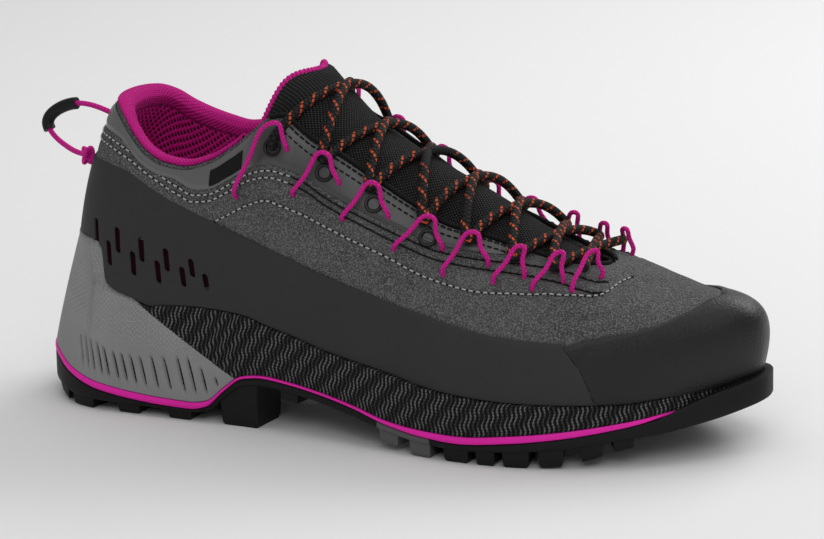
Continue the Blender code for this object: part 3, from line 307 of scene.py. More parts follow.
# lace loops, shares of the length at their feet and top, and of the way up the rib
LOOPS = (
    # foot, top, far foot, foot height, top height, far foot height, extra lift in millimetres
    (0.314, 0.379, 0.390, 0.745, 0.955, 0.88, 0.0),
    (0.404, 0.443, 0.464, 0.730, 0.955, 0.88, 0.0),
    (0.475, 0.507, 0.532, 0.737, 0.950, 0.87, 0.0),
    (0.547, 0.580, 0.606, 0.740, 0.945, 0.86, 0.0),
    (0.615, 0.640, 0.667, 0.727, 0.930, 0.84, 0.0),
    (0.679, 0.700, 0.712, 0.745, 0.900, 0.82, 1.2),
    (0.726, 0.748, 0.758, 0.750, 0.900, 0.82, 1.2),
    (0.772, 0.786, 0.796, 0.750, 0.900, 0.84, 1.2),
)

# how far forward the first crossings of the lace sit, shares of the sole length
CROSSING_SHIFT = (0.020, 0.008, 0.0)

# ridge of the tongue, shares of the sole length and of the heel height
TONGUE = (
    # forward of the middle, height, edge station, thickness share, share risen near the wing
    (0.3200, 0.3696, 0.812, 0.45, 0.30),
    (0.2836, 0.4023, 0.776, 0.45, 0.30),
    (0.2400, 0.4725, 0.735, 0.50, 0.30),
    (0.1891, 0.5661, 0.688, 0.55, 0.30),
    (0.1382, 0.6596, 0.636, 0.60, 0.30),
    (0.0873, 0.7415, 0.585, 0.70, 0.30),
    (0.0364, 0.8140, 0.532, 0.80, 0.32),
    (-0.0109, 0.8842, 0.480, 0.90, 0.36),
    (-0.0436, 0.9661, 0.430, 1.00, 0.46),
    (-0.0745, 1.0690, 0.375, 1.00, 0.58),
    (-0.1036, 1.1696, 0.325, 0.90, 0.70),
)

# slanted joint of cradle and midsole, shares of the length and of the heel stack
JOINT = (
    # forward of the middle, height
    (-0.1455, 0.4778),
    (-0.3229, 1.4444),
    (-0.3527, 1.6481),
    (-0.3545, 2.6667),
)

# pull loop, shares of the sole length, ball width and heel height above the heel stack
PULL = (
    # forward of the middle, across, height
    (-0.4149, -0.0303, 0.9006),
    (-0.4400, -0.0152, 0.9193),
    (-0.4655, 0.0000, 0.9263),
    (-0.4982, 0.0051, 0.9053),
    (-0.5222, 0.0000, 0.8257),
    (-0.5127, -0.0101, 0.7813),
    (-0.4945, -0.0303, 0.7509),
    (-0.4676, -0.0707, 0.7322),
    (-0.4462, -0.1061, 0.7322),
)
# first and last step of the pull loop's line that the sleeve covers
SLEEVE = (6, 13)
# middle of the knot in the same shares, and its half sizes in cord diameters
KNOT = (-0.4360, -0.1313, 0.7368)
KNOT_REACH = (1.3, 1.5, 1.7)

# eyelets, share of the length and share of the way up the rib
EYELETS = ((0.371, 0.868), (0.443, 0.884), (0.511, 0.880), (0.5845, 0.874))


class Curve:
    """Smooth line through one column of a table, in the size it is a share of."""

    def __init__(self, rows, column, size=1.0, level=False):
        table = np.array(rows, dtype=float)
        self.x = table[:, 0]
        self.y = table[:, column] * size
        step = np.diff(self.x)
        slope = np.diff(self.y) / step
        count = len(self.x)
        self.grade = np.zeros(count)
        if level:
            self.grade[0] = slope[0]
            self.grade[-1] = slope[-1]
            for i in range(1, count - 1):
                if slope[i - 1] * slope[i] > 0:
                    near = 2 * step[i] + step[i - 1]
                    far = step[i] + 2 * step[i - 1]
                    self.grade[i] = (near + far) / (near / slope[i - 1] + far / slope[i])
        else:
            band = np.zeros((count, count))
            pull = np.zeros(count)
            band[0, 0] = band[-1, -1] = 2.0
            band[0, 1] = band[-1, -2] = 1.0
            pull[0] = 3 * slope[0]
            pull[-1] = 3 * slope[-1]
            for i in range(1, count - 1):
                band[i, i - 1] = step[i]
                band[i, i] = 2 * (step[i - 1] + step[i])
                band[i, i + 1] = step[i - 1]
                pull[i] = 3 * (step[i] * slope[i - 1] + step[i - 1] * slope[i])
            self.grade = np.linalg.solve(band, pull)

    def __call__(self, at):
        at = np.clip(np.asarray(at, dtype=float), self.x[0], self.x[-1])
        i = np.clip(np.searchsorted(self.x, at, side="right") - 1, 0, len(self.x) - 2)
        width = self.x[i + 1] - self.x[i]
        t = (at - self.x[i]) / width
        start = self.y[i] * (1 + 2 * t) * (1 - t) ** 2
        start = start + self.grade[i] * width * t * (1 - t) ** 2
        end = self.y[i + 1] * t * t * (3 - 2 * t)
        return start + end - self.grade[i + 1] * width * t * t * (1 - t)


lateral_half = Curve(PLAN, 1, BALL_WIDTH)
medial_half = Curve(PLAN, 2, BALL_WIDTH)
centre_shift = Curve(PLAN, 3, BALL_WIDTH)
lug_foot = Curve(SOLE, 1, HEEL_STACK, level=True)
tread_sheet = Curve(SOLE, 2, HEEL_STACK, level=True)
line_middle = Curve(SOLE, 3, HEEL_STACK, level=True)
line_thickness = Curve(SOLE, 4, HEEL_STACK, level=True)
foot_bed = Curve(SOLE, 5, HEEL_STACK, level=True)
cup_top = Curve(SOLE, 6, HEEL_STACK, level=True)
cup_inset = Curve(SOLE, 7, BALL_WIDTH, level=True)
lip_top = Curve(LIP, 1, HEEL_STACK, level=True)
lip_wall = Curve(LIP, 2, BALL_WIDTH, level=True)
lip_inset = Curve(LIP, 3, BALL_WIDTH, level=True)
feather_inset = Curve(RIBS, 1, BALL_WIDTH)
lean_lateral = Curve(RIBS, 2)
lean_medial = Curve(RIBS, 3)
lower_pull = Curve(RIBS, 4)
top_slope = Curve(RIBS, 5)
upper_pull = Curve(RIBS, 6)
edge_forward = Curve(EDGE, 1, SOLE_LENGTH, level=True)
edge_half = Curve(EDGE, 2, BALL_WIDTH, level=True)
edge_lateral = Curve(EDGE, 3, HEEL_HEIGHT, level=True)
edge_medial = Curve(EDGE, 4, HEEL_HEIGHT, level=True)
rand_top = Curve(LINES, 1, HEEL_HEIGHT, level=True)
film_foot = Curve(LINES, 2, HEEL_HEIGHT, level=True)
cap_top = Curve(CAP_TOP, 1)


# perimeter of the sole: way 0 at the heel, -1 and 1 at the toe, negative on the lateral side
def wrap(way):
    return (np.asarray(way, dtype=float) + 1.0) % 2.0 - 1.0


def station(way):
    """Share of the sole length at a way along the perimeter."""
    way = np.abs(wrap(way))
    heel = np.cos(np.clip(way / HEEL_WAY, 0, 1) * np.pi / 2)
    toe = np.cos(np.clip((1 - way) / (1 - TOE_WAY), 0, 1) * np.pi / 2)
    heel = HEEL_ROUND * (1 - np.abs(heel) ** (2 / ROUND_POWER))
    toe = 1 - TOE_ROUND * (1 - np.abs(toe) ** (2 / ROUND_POWER))
    share = (way - HEEL_WAY) / (TOE_WAY - HEEL_WAY)
    middle = HEEL_ROUND + share * (1 - TOE_ROUND - HEEL_ROUND)
    return np.where(way < HEEL_WAY, heel, np.where(way > TOE_WAY, toe, middle))


WAYS = np.linspace(0.0, 1.0, 4001)
STATIONS = station(np.minimum(WAYS, 0.9999999))
STATIONS[-1] = 1.0


def way_of(at):
    return np.interp(at, STATIONS, WAYS)


def outline(way):
    way = wrap(way)
    side = np.where(way < 0, -1.0, 1.0)
    at = station(way)
    heel = np.clip(1 - at / HEEL_ROUND, 0, 1)
    toe = np.clip((at - 1 + TOE_ROUND) / TOE_ROUND, 0, 1)
    ends = (1 - heel ** ROUND_POWER) * (1 - toe ** ROUND_POWER)
    half = np.where(side < 0, lateral_half(at), medial_half(at))
    half = half * np.maximum(ends, 0) ** (1 / ROUND_POWER)
    return np.stack([(at - 0.5) * SOLE_LENGTH, centre_shift(at) + side * half], -1)


def outward(way):
    step = outline(way + 1e-4) - outline(way - 1e-4)
    out = np.stack([-step[..., 1], step[..., 0]], -1)
    return out / np.linalg.norm(out, axis=-1, keepdims=True)


def ring(way, inset, height):
    flat = outline(way) - outward(way) * np.asarray(inset)[..., None]
    height = np.broadcast_to(height, flat[..., 0].shape)
    return np.concatenate([flat, height[..., None]], -1)


def rib(way):
    """Four control points of the upper's rib that stands at a way."""
    way = wrap(way)
    side = np.where(way < 0, -1.0, 1.0)
    at = station(way)
    foot = ring(way, feather_inset(at), foot_bed(at) + CLEARANCE)
    forward = edge_forward(at)
    back = np.clip(1 - (forward / SOLE_LENGTH - EDGE[0][1]) / COLLAR_ROUND, 0, 1)
    half = edge_half(at) * (1 - back ** ROUND_POWER) ** (1 / ROUND_POWER)
    across = centre_shift(forward / SOLE_LENGTH + 0.5) + side * half
    height = HEEL_STACK + np.where(side < 0, edge_lateral(at), edge_medial(at))
    top = np.stack([forward, across, height], -1)
    out = np.concatenate([outward(way), np.zeros(way.shape + (1,))], -1)
    up = np.zeros_like(top)
    up[..., 2] = 1.0
    chord = np.linalg.norm(top - foot, axis=-1, keepdims=True)
    along = top - foot
    along[..., 2] = 0.0
    along = along - out * np.sum(along * out, -1, keepdims=True)
    lean = np.radians(np.where(side < 0, lean_lateral(at), lean_medial(at)))[..., None]
    slope = np.radians(top_slope(at))[..., None]
    rise = (edge_lateral(at + 0.004) - edge_lateral(at - 0.004))
    rise = rise / (edge_forward(at + 0.004) - edge_forward(at - 0.004))
    rise = (rise * -out[..., 0])[..., None]
    on_ridge = (at >= THROAT_END)[..., None]
    climb = np.where(on_ridge, rise, np.sin(slope))
    level = np.where(on_ridge, 1.0, np.cos(slope))
    low = foot + lower_pull(at)[..., None] * chord * (np.cos(lean) * up + np.sin(lean) * out)
    high = top - upper_pull(at)[..., None] * chord * (climb * up - level * out)
    return foot, low + along / 3, high - along / 3, top


def bare(way, up):
    foot, low, high, top = rib(way)
    up = np.asarray(up, dtype=float)[..., None]
    down = 1 - up
    lower = foot * down ** 3 + 3 * low * down ** 2 * up
    return lower + 3 * high * down * up ** 2 + top * up ** 3


def skin(way, up, off=0.0):
    """Point of the upper at a way and a share up the rib, moved off along the normal."""
    way, up = np.broadcast_arrays(np.asarray(way, float), np.asarray(up, float))
    point = bare(way, up)
    along = bare(way + 2e-4, up) - bare(way - 2e-4, up)
    rise = bare(way, up + 1e-3) - bare(way, up - 1e-3)
    normal = np.cross(rise, along)
    at = station(way)
    grade = edge_lateral(at + 0.004) - edge_lateral(at - 0.004)
    grade = grade / (edge_forward(at + 0.004) - edge_forward(at - 0.004))
    crest = np.stack([-grade, np.zeros_like(grade), np.ones_like(grade)], -1)
    on_ridge = ((at >= THROAT_END - 1e-9) & (up > 0.9999))[..., None]
    normal = np.where(on_ridge, crest, normal)
    normal = normal / np.linalg.norm(normal, axis=-1, keepdims=True)
    return point + normal * np.broadcast_to(off, way.shape)[..., None]


def share_at(way, height):
    """Share up the rib where it reaches a height."""
    way = np.atleast_1d(way)
    height = np.broadcast_to(height, way.shape)
    steps = np.linspace(0, 1, 81)
    rise = bare(way[:, None], steps[None, :])[..., 2]
    rise = np.maximum.accumulate(rise, axis=1)
    return np.array([np.interp(h, r, steps) for h, r in zip(height, rise)])


def smooth_path(points, steps):
    """Points spaced along a smooth line through the points given."""
    points = np.asarray(points, dtype=float)
    length = np.r_[0, np.cumsum(np.linalg.norm(np.diff(points, axis=0), axis=1))]
    rows = np.column_stack([length, points])
    at = np.linspace(0, length[-1], steps)
    return np.column_stack([Curve(rows, 1)(at), Curve(rows, 2)(at), Curve(rows, 3)(at)])


ridge_line = Curve(sorted((row[0] * SOLE_LENGTH, row[1] * HEEL_HEIGHT) for row in TONGUE), 1)
edge_line = Curve([(row[1] * SOLE_LENGTH, row[3] * HEEL_HEIGHT) for row in EDGE[17:]], 1)


# usual length of a rib, and the lines on the sides, heights above the heel stack
RIB_LENGTH = 78.0
SINGLE_STITCH = (
    # at, height
    (0.265, 46.0),
    (0.285, 48.3),
    (0.335, 54.4),
    (0.365, 56.8),
    (0.390, 55.2),
    (0.445, 50.2),
    (0.485, 45.9),
    (0.532, 41.3),
    (0.603, 34.0),
    (0.670, 31.3),
    (0.722, 31.2),
    (0.775, 31.2),
    (0.800, 31.0),
    (0.822, 33.4),
    (0.838, 33.8),
)
DOUBLE_STITCH_DROP = (2.0, 4.4)
DOUBLE_STITCH_END = 0.805
PALE_STITCH_END = 0.40

# slots of the rand: where they sit, and their height in millimetres
SLOTS = (
    # at, share of the way up the rib, height
    (0.071, 0.477, 7.0),
    (0.110, 0.510, 6.8),
    (0.151, 0.513, 6.4),
    (0.197, 0.480, 6.0),
    (0.242, 0.437, 4.8),
    (0.099, 0.423, 6.6),
    (0.141, 0.427, 6.4),
    (0.185, 0.407, 6.0),
    (0.228, 0.390, 5.2),
    (0.267, 0.360, 4.2),
)
SLOT_WIDTH = 2.5
SLOT_GROWTH = 1.38
SLOT_LEAN = 0.24

# grooves of the heel cradle: station and height in millimetres
GROOVES = (
    # at, height
    (0.080, 11.4),
    (0.090, 12.6),
    (0.100, 12.6),
    (0.112, 12.6),
    (0.123, 12.0),
    (0.138, 11.4),
    (0.151, 11.4),
    (0.165, 11.6),
    (0.180, 11.8),
    (0.198, 13.0),
    (0.217, 13.4),
    (0.238, 14.2),
    (0.254, 14.4),
    (0.272, 10.2),
    (0.291, 3.4),
)
GROOVE_FOOT = 2.4
GROOVE_WIDTH = 1.2
GROOVE_DEPTH = 1.6
GROOVE_LEAN = 0.26
# radius of the dark tubes that paint shade at the groove bottoms
GROOVE_SHADE = 0.5

# inner face of the padded lining: share up the rib, and share of its thickness
LINING_DEPTHS = (
    (0.965, 1.03),
    (0.90, 1.0),
    (0.82, 0.95),
    (0.72, 0.85),
    (0.58, 0.6),
    (LINING_FOOT, 0.35),
)

# turned form of an eyelet: share of its width, and height in millimetres
EYELET_RINGS = (
    (0.30, 0.0),
    (0.50, 0.0),
    (0.49, 0.35),
    (0.45, 0.65),
    (0.38, 0.7),
    (0.33, 0.5),
    (0.30, 0.0),
)

# flex creases, lengths as shares of the sole and of the way up the rib
CREASES = (
    # at, slant, share up, reach along, reach up, depth in millimetres
    (0.715, 0.10, 0.62, 0.012, 0.22, 0.45),
    (0.755, 0.08, 0.60, 0.010, 0.20, 0.30),
    (0.670, 0.12, 0.58, 0.014, 0.20, 0.30),
    (0.430, -0.14, 0.62, 0.018, 0.20, 0.35),
    (0.350, -0.10, 0.60, 0.016, 0.16, 0.30),
)

# padded band, seams, eyelet stays and the way the lace turns in its loops
BAND_RISE = 0.9
BAND_REACH = 13.0
SEAM_DEPTH = 0.35
SEAM_REACH = 1.5
# radius of the dark tubes that paint shade along the seam troughs
SEAM_SHADE = 0.28
EYESTAY_FROM = -44.0
TURN_BACK = -0.006
TURN_DROP = 0.06
TURN_LIFT = 0.6
LACE_ROUND = 2.3
GREY_LUGS = (0.537, 0.615)


# meshes
def lay_out(points):
    """Lengths in centimetres along both ways of a grid of points, for its pattern."""
    along = np.linalg.norm(np.diff(points, axis=0), axis=2).mean(axis=1)
    rise = np.linalg.norm(np.diff(points, axis=1), axis=2)
    u = np.r_[0, np.cumsum(along)]
    v = np.concatenate([np.zeros((len(points), 1)), np.cumsum(rise, axis=1)], axis=1)
    u = np.repeat(u[:, None], points.shape[1], axis=1)
    return np.stack([u, v], -1) / 10


class Form:
    """Faces of one piece, with a place on its pattern for each corner."""

    def __init__(self):
        self.points = []
        self.faces = []
        self.flats = []
        self.count = 0

    def grid(self, points, closed=False, flat=None):
        points = np.asarray(points, dtype=float)
        rows, columns = points.shape[:2]
        first = self.count
        self.points.append(points.reshape(-1, 3))
        self.count += rows * columns
        lap = np.concatenate([points, points[:1]]) if closed else points
        if flat is None:
            flat = lay_out(lap)
        spans = rows if closed else rows - 1
        i, k = np.meshgrid(np.arange(spans), np.arange(columns - 1), indexing="ij")
        j = (i + 1) % rows
        near, far = first + i * columns + k, first + j * columns + k
        quads = np.stack([near, far, far + 1, near + 1], -1)
        places = np.stack([flat[i, k], flat[i + 1, k], flat[i + 1, k + 1], flat[i, k + 1]], 2)
        self.faces += quads.reshape(-1, 4).tolist()
        self.flats += places.reshape(-1, 4, 2).tolist()

    def shell(self, outer, inner, closed=False, flat=None, open_top=None):
        """Closed wall between two grids of points."""
        lap = np.concatenate([outer, outer[:1]]) if closed else outer
        if flat is None:
            flat = lay_out(lap)
        self.grid(outer, closed, flat)
        self.grid(inner, closed, flat)
        ends = [(np.stack([outer[:, 0], inner[:, 0]], 1), flat[:, :1])]
        top = np.stack([outer[:, -1], inner[:, -1]], 1)
        if open_top is None:
            ends.append((top, flat[:, -1:]))
        for pair, place in ends:
            self.grid(pair, closed, np.repeat(place, 2, axis=1))
        if open_top is not None:
            run = np.flatnonzero(open_top)
            breaks = np.flatnonzero(np.diff(run) > 1) + 1
            for part in np.split(run, breaks):
                part = np.r_[part, part[-1] + 1] % len(outer)
                self.grid(top[part])
        if not closed:
            for row in (0, -1):
                self.grid(np.stack([outer[row], inner[row]], 1))

    def tube(self, path, radius, sides=10, closed=False, caps=True):
        """Round tube along a path, its radius a number or one for each point."""
        path = np.asarray(path, dtype=float)
        if closed:
            ahead = np.roll(path, -1, 0) - np.roll(path, 1, 0)
        else:
            ahead = np.gradient(path, axis=0)
        ahead = ahead / np.linalg.norm(ahead, axis=1, keepdims=True)
        upward = np.array([0.0, 0.0, 1.0])
        if abs(ahead[0] @ upward) > 0.9:
            upward = np.array([0.0, 1.0, 0.0])
        radius = np.broadcast_to(radius, len(path))
        turns = np.linspace(0, 2 * np.pi, sides + 1)
        rings = []
        for point, way, reach in zip(path, ahead, radius):
            upward = upward - way * (upward @ way)
            upward = upward / np.linalg.norm(upward)
            side = np.cross(way, upward)
            circle = np.cos(turns)[:, None] * upward + np.sin(turns)[:, None] * side
            rings.append(point + reach * circle)
        rings = np.array(rings)
        length = np.r_[0, np.cumsum(np.linalg.norm(np.diff(path, axis=0), axis=1))] / 10
        round_share = np.linspace(0, 1, sides + 1)
        if closed:
            step = length[-1] / (len(path) - 1)
            length = np.r_[length, length[-1] + step]
        flat = np.stack(np.meshgrid(length, round_share, indexing="ij"), -1)
        self.grid(rings, closed, flat)
        if not closed and caps:
            for row, point in ((0, path[0]), (-1, path[-1])):
                middle = np.repeat(point[None, :], sides + 1, axis=0)
                self.grid(np.stack([rings[row], middle], 1), False, np.zeros((sides + 1, 2, 2)))

    def close(self, name, made, nodes=(), slot=None, smooth=50.0, parts=None):
        """The piece as an object that rides on the shoe and stands for its nodes."""
        grown = bmesh.new()
        points = np.concatenate(self.points) * MM
        corners = [grown.verts.new(point) for point in points.tolist()]
        grown.verts.ensure_lookup_table()
        layer = grown.loops.layers.uv.new("pattern")
        for face, places in zip(self.faces, self.flats):
            loop = []
            kept = []
            for index, place in zip(face, places):
                if corners[index] not in loop:
                    loop.append(corners[index])
                    kept.append(place)
            if len(loop) < 3:
                continue
            grown_face = grown.faces.new(loop)
            for corner, place in zip(grown_face.loops, kept):
                corner[layer].uv = place
        bmesh.ops.remove_doubles(grown, verts=grown.verts[:], dist=2e-6)
        bmesh.ops.dissolve_degenerate(grown, edges=grown.edges[:], dist=1e-7)
        bmesh.ops.recalc_face_normals(grown, faces=grown.faces[:])
        if parts is not None:
            parts(grown)
        mesh = bpy.data.meshes.new(name)
        grown.to_mesh(mesh)
        grown.free()
        mesh.materials.append(made)
        made_object = bpy.data.objects.new(name, mesh)
        bpy.context.scene.collection.objects.link(made_object)
        mesh.polygons.foreach_set("use_smooth", [True] * len(mesh.polygons))
        mesh.set_sharp_from_angle(angle=math.radians(smooth))
        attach(made_object, "root")
        if nodes:
            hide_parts(*nodes)
        return made_object


def soften(share):
    share = np.clip(share, 0, 1)
    return share * share * (3 - 2 * share)


def numbered(stem, count):
    return ["%s_%s_%d" % (stem, side, i) for side in ("lateral", "medial") for i in range(1, count + 1)]


# materials
class Wire:
    """A socket of a material's graph that can be reckoned with."""

    def __init__(self, graph, socket):
        self.graph = graph
        self.socket = socket

    def __add__(self, other):
        return self.graph.reckon("ADD", self, other)

    def __sub__(self, other):
        return self.graph.reckon("SUBTRACT", self, other)

    def __mul__(self, other):
        return self.graph.reckon("MULTIPLY", self, other)

    def __rsub__(self, other):
        return self.graph.reckon("SUBTRACT", other, self)

    __radd__ = __add__
    __rmul__ = __mul__

    def above(self, edge, softness):
        """0 under an edge, 1 over it, with a soft step."""
        return self.graph.ramp(self, edge - softness, edge + softness)

    def wave(self, pitch, shift=0.0):
        """Sine from 0 to 1 that repeats at a pitch."""
        turned = self.graph.reckon("SINE", self * (2 * math.pi / pitch) + shift, 0.0)
        return turned * 0.5 + 0.5


class Graph:
    """Nodes of one material, ending in a Principled surface."""

    def __init__(self, name, colour, roughness, metallic=0.0, shine=0.5):
        self.material = bpy.data.materials.new(name)
        self.material.use_nodes = True
        self.tree = self.material.node_tree
        self.surface = self.tree.nodes["Principled BSDF"]
        self.set("Base Color", tuple(colour))
        self.set("Roughness", roughness)
        self.set("Metallic", metallic)
        self.set("Specular IOR Level", shine)
        self.material.diffuse_color = tuple(colour)

    def node(self, kind, settings=None, values=None):
        made = self.tree.nodes.new(kind)
        for key, value in (settings or {}).items():
            setattr(made, key, value)
        for key, value in (values or {}).items():
            if isinstance(value, Wire):
                self.tree.links.new(value.socket, made.inputs[key])
            else:
                made.inputs[key].default_value = value
        return made

    def reckon(self, operation, first, second):
        made = self.node("ShaderNodeMath", {"operation": operation}, {0: first, 1: second})
        return Wire(self, made.outputs[0])

    def ramp(self, value, low, high):
        values = {0: value, 1: low, 2: high, 3: 0.0, 4: 1.0}
        made = self.node("ShaderNodeMapRange", {"interpolation_type": "SMOOTHSTEP"}, values)
        return Wire(self, made.outputs[0])

    def place(self):
        """Object coordinates in metres."""
        return Wire(self, self.node("ShaderNodeTexCoord").outputs["Object"])

    def flat(self):
        """The piece's own pattern, in centimetres."""
        return Wire(self, self.node("ShaderNodeUVMap", {"uv_map": "pattern"}).outputs["UV"])

    def parts(self, vector):
        made = self.node("ShaderNodeSeparateXYZ", None, {0: vector})
        return [Wire(self, made.outputs[i]) for i in range(3)]

    def noise(self, vector, scale, detail=2.0, roughness=0.5):
        values = {"Vector": vector, "Scale": scale, "Detail": detail, "Roughness": roughness}
        return Wire(self, self.node("ShaderNodeTexNoise", None, values).outputs["Fac"])

    def blend(self, share, first, second):
        made = self.node("ShaderNodeMix", {"data_type": "RGBA"})
        for key, value in ((0, share), (6, first), (7, second)):
            if isinstance(value, Wire):
                self.tree.links.new(value.socket, made.inputs[key])
            else:
                made.inputs[key].default_value = value
        return Wire(self, made.outputs[2])

    def set(self, name, value):
        if isinstance(value, Wire):
            self.tree.links.new(value.socket, self.surface.inputs[name])
        else:
            self.surface.inputs[name].default_value = value

    def bump(self, height, distance, strength=1.0):
        """Relief of a height from 0 to 1 over a distance in millimetres."""
        values = {"Height": height, "Distance": distance * MM, "Strength": strength}
        made = self.node("ShaderNodeBump", None, values)
        self.set("Normal", Wire(self, made.outputs[0]))


def grey(value, tint=1.0):
    return (value, value, value * tint, 1.0)


def shaded(colour, share):
    """Colour made darker or lighter by a share."""
    return tuple(min(part * share, 1.0) for part in colour[:3]) + (1.0,)


def nubuck():
    looks = bpy.context.scene.shoe_looks
    graph = Graph("nubuck", looks.nubuck, 0.9, shine=0.12)
    place = graph.place()
    nap = graph.noise(place, 1750.0, 4.0, 0.75)
    fibre = graph.noise(place, 520.0, 3.0, 0.6)
    cloud = graph.noise(place, 55.0, 3.0, 0.6)
    specks = graph.ramp(nap, 0.44, 0.64)
    mottle = graph.ramp(cloud * 0.6 + fibre * 0.4, 0.35, 0.65)
    shade = graph.blend(mottle, shaded(looks.nubuck, 0.50), shaded(looks.nubuck, 0.85))
    graph.set("Base Color", graph.blend(specks, shade, shaded(looks.nubuck, 2.3)))
    graph.bump(nap + fibre * 0.6 + cloud * 0.5, 0.38)
    return graph.material


def rubber(name, colour, roughness, grain=0.05, cloudy=0.35, shine=0.18):
    graph = Graph(name, colour, roughness, shine=shine)
    place = graph.place()
    fine = graph.noise(place, 900.0, 3.0, 0.6)
    cloud = graph.noise(place, 45.0, 3.0, 0.6)
    graph.set("Base Color", graph.blend(cloud, colour, shaded(colour, 1 + cloudy)))
    graph.set("Roughness", cloud * 0.12 + (roughness - 0.06))
    graph.bump(fine, grain)
    return graph


def tread_rubber():
    looks = bpy.context.scene.shoe_looks
    graph = Graph("tread_rubber", looks.tread, 0.6, shine=0.2)
    place = graph.place()
    fine = graph.noise(place, 700.0, 3.0, 0.6)
    across = graph.parts(place)
    low = (GREY_LUGS[0] - 0.5) * SOLE_LENGTH * MM
    high = (GREY_LUGS[1] - 0.5) * SOLE_LENGTH * MM
    inside = across[0].above(low, 0.0004) * (1 - across[0].above(high, 0.0004))
    side = 1 - across[1].above(-0.024, 0.0004)
    shade = graph.blend(inside * side, looks.tread, grey(0.10))
    graph.set("Base Color", shade)
    graph.bump(fine, 0.08)
    return graph.material


def knit_band():
    """Black knit with upright columns crossed by slanted waves."""
    looks = bpy.context.scene.shoe_looks
    graph = Graph("knit_band", looks.knit, 0.9, shine=0.12)
    u, v, _ = graph.parts(graph.flat())
    fleck = graph.noise(graph.place(), 1500.0, 2.0, 0.6)
    bend = (v * 1.0).wave(0.55)
    column = (u + bend * 0.07).wave(0.165)
    stitch = (v + column * 0.05).wave(0.11)
    wave = (u + v * 0.75).wave(0.80)
    height = column * 0.8 + stitch * 0.25 + wave * 0.7
    light = graph.ramp(column * 0.6 + stitch * column * 0.4 + fleck * 0.5, 0.55, 1.10)
    light = light * (graph.ramp(wave, 0.1, 0.8) * 0.75 + 0.25)
    graph.set("Base Color", graph.blend(light, shaded(looks.knit, 0.35), shaded(looks.knit, 6.5)))
    graph.bump(height, 1.0)
    return graph.material


def cradle_foam():
    looks = bpy.context.scene.shoe_looks
    graph = Graph("cradle_foam", looks.cradle, 0.62, shine=0.2)
    place = graph.place()
    u, v, _ = graph.parts(graph.flat())
    dots = (u + v).wave(0.19) * (u - v).wave(0.19)
    upper = v.above(1.9, 0.35)
    cloud = graph.noise(place, 60.0, 2.0, 0.5)
    shade = graph.blend(cloud, shaded(looks.cradle, 0.85), shaded(looks.cradle, 1.15))
    graph.set("Base Color", graph.blend(dots * upper * 0.5, shade, shaded(looks.cradle, 1.9)))
    graph.bump(dots * upper + graph.noise(place, 800.0) * 0.2, 0.3)
    return graph.material


def mesh_lining():
    """Pink rolled rim, and inside it an open mesh whose holes are painted near black as shade."""
    looks = bpy.context.scene.shoe_looks
    graph = Graph("mesh_lining", looks.pink, 0.85, shine=0.15)
    u, v, _ = graph.parts(graph.flat())
    holes = (u + v * 0.8).wave(0.26) * (u - v * 0.8).wave(0.26)
    hole_shade = graph.ramp(holes, 0.28, 0.55)
    knots = (u + v).wave(0.15) * (u - v).wave(0.15)
    # The holes of the mesh are painted near black: painted shade inside them.
    inner = graph.blend(hole_shade, shaded(looks.pink, 0.85), shaded(looks.pink, 0.07))
    rim = graph.blend(knots, shaded(looks.pink, 0.62), shaded(looks.pink, 1.15))
    on_rim = v.above(100.0, 0.05)
    graph.set("Base Color", graph.blend(on_rim, inner, rim))
    relief = knots * on_rim + (1 - holes) * (1 - on_rim)
    graph.bump(relief, 0.6)
    return graph.material


def knit_tongue():
    looks = bpy.context.scene.shoe_looks
    graph = Graph("knit_tongue", looks.knit, 0.92, shine=0.12)
    u, v, _ = graph.parts(graph.flat())
    weave = (u + v).wave(0.14) * (u - v).wave(0.14)
    fleck = graph.noise(graph.place(), 900.0, 2.0, 0.6)
    light = graph.ramp(weave + fleck * 0.4, 0.55, 1.1)
    graph.set("Base Color", graph.blend(light, shaded(looks.knit, 0.5), shaded(looks.knit, 4.4)))
    graph.bump(weave, 0.6)
    return graph.material


def braid(name, colour, pitch, dashes=None, low=0.6, high=1.3):
    """Round cord of crossing strands, with coloured dashes where asked."""
    graph = Graph(name, colour, 0.75, shine=0.18)
    u, v, _ = graph.parts(graph.flat())
    crossing = (u * (1 / pitch) + v * 3.0).wave(1.0) * (u * (1 / pitch) - v * 3.0).wave(1.0)
    shade = graph.blend(crossing, shaded(colour, low), shaded(colour, high))
    if dashes:
        turn = graph.reckon("FRACT", u * 1.7 + v * 1.9, 0.0)
        stripe = graph.ramp(turn, 0.05, 0.08) * (1 - graph.ramp(turn, 0.27, 0.30))
        gap = graph.reckon("FRACT", u * 3.0 - v * 5.0, 0.0)
        broken = graph.ramp(gap, 0.30, 0.38)
        run = graph.noise(graph.place(), 45.0, 1.0, 0.4)
        shade = graph.blend(stripe * broken * graph.ramp(run, 0.36, 0.42), shade, dashes)
    graph.set("Base Color", shade)
    graph.bump(crossing, 0.35)
    return graph.material


def film_sheet():
    """Smooth grey film of the collar, darker over the eyelets."""
    looks = bpy.context.scene.shoe_looks
    graph = Graph("film_sheet", looks.film, 0.38, shine=0.8)
    place = graph.place()
    x = graph.parts(place)[0]
    stay = x.above(EYESTAY_FROM * MM, 0.004)
    cloud = graph.noise(place, 50.0, 2.0, 0.5)
    graph.set("Base Color", graph.blend(stay, looks.film, shaded(looks.film, 0.35)))
    graph.set("Roughness", cloud * 0.1 + stay * 0.12 + 0.25)
    graph.bump(graph.noise(place, 500.0, 2.0), 0.03)
    return graph.material




# shapes
def film_low(way):
    """Share up the rib where the collar film starts."""
    return np.minimum(share_at(way, HEEL_STACK + film_foot(station(way))), 0.93)


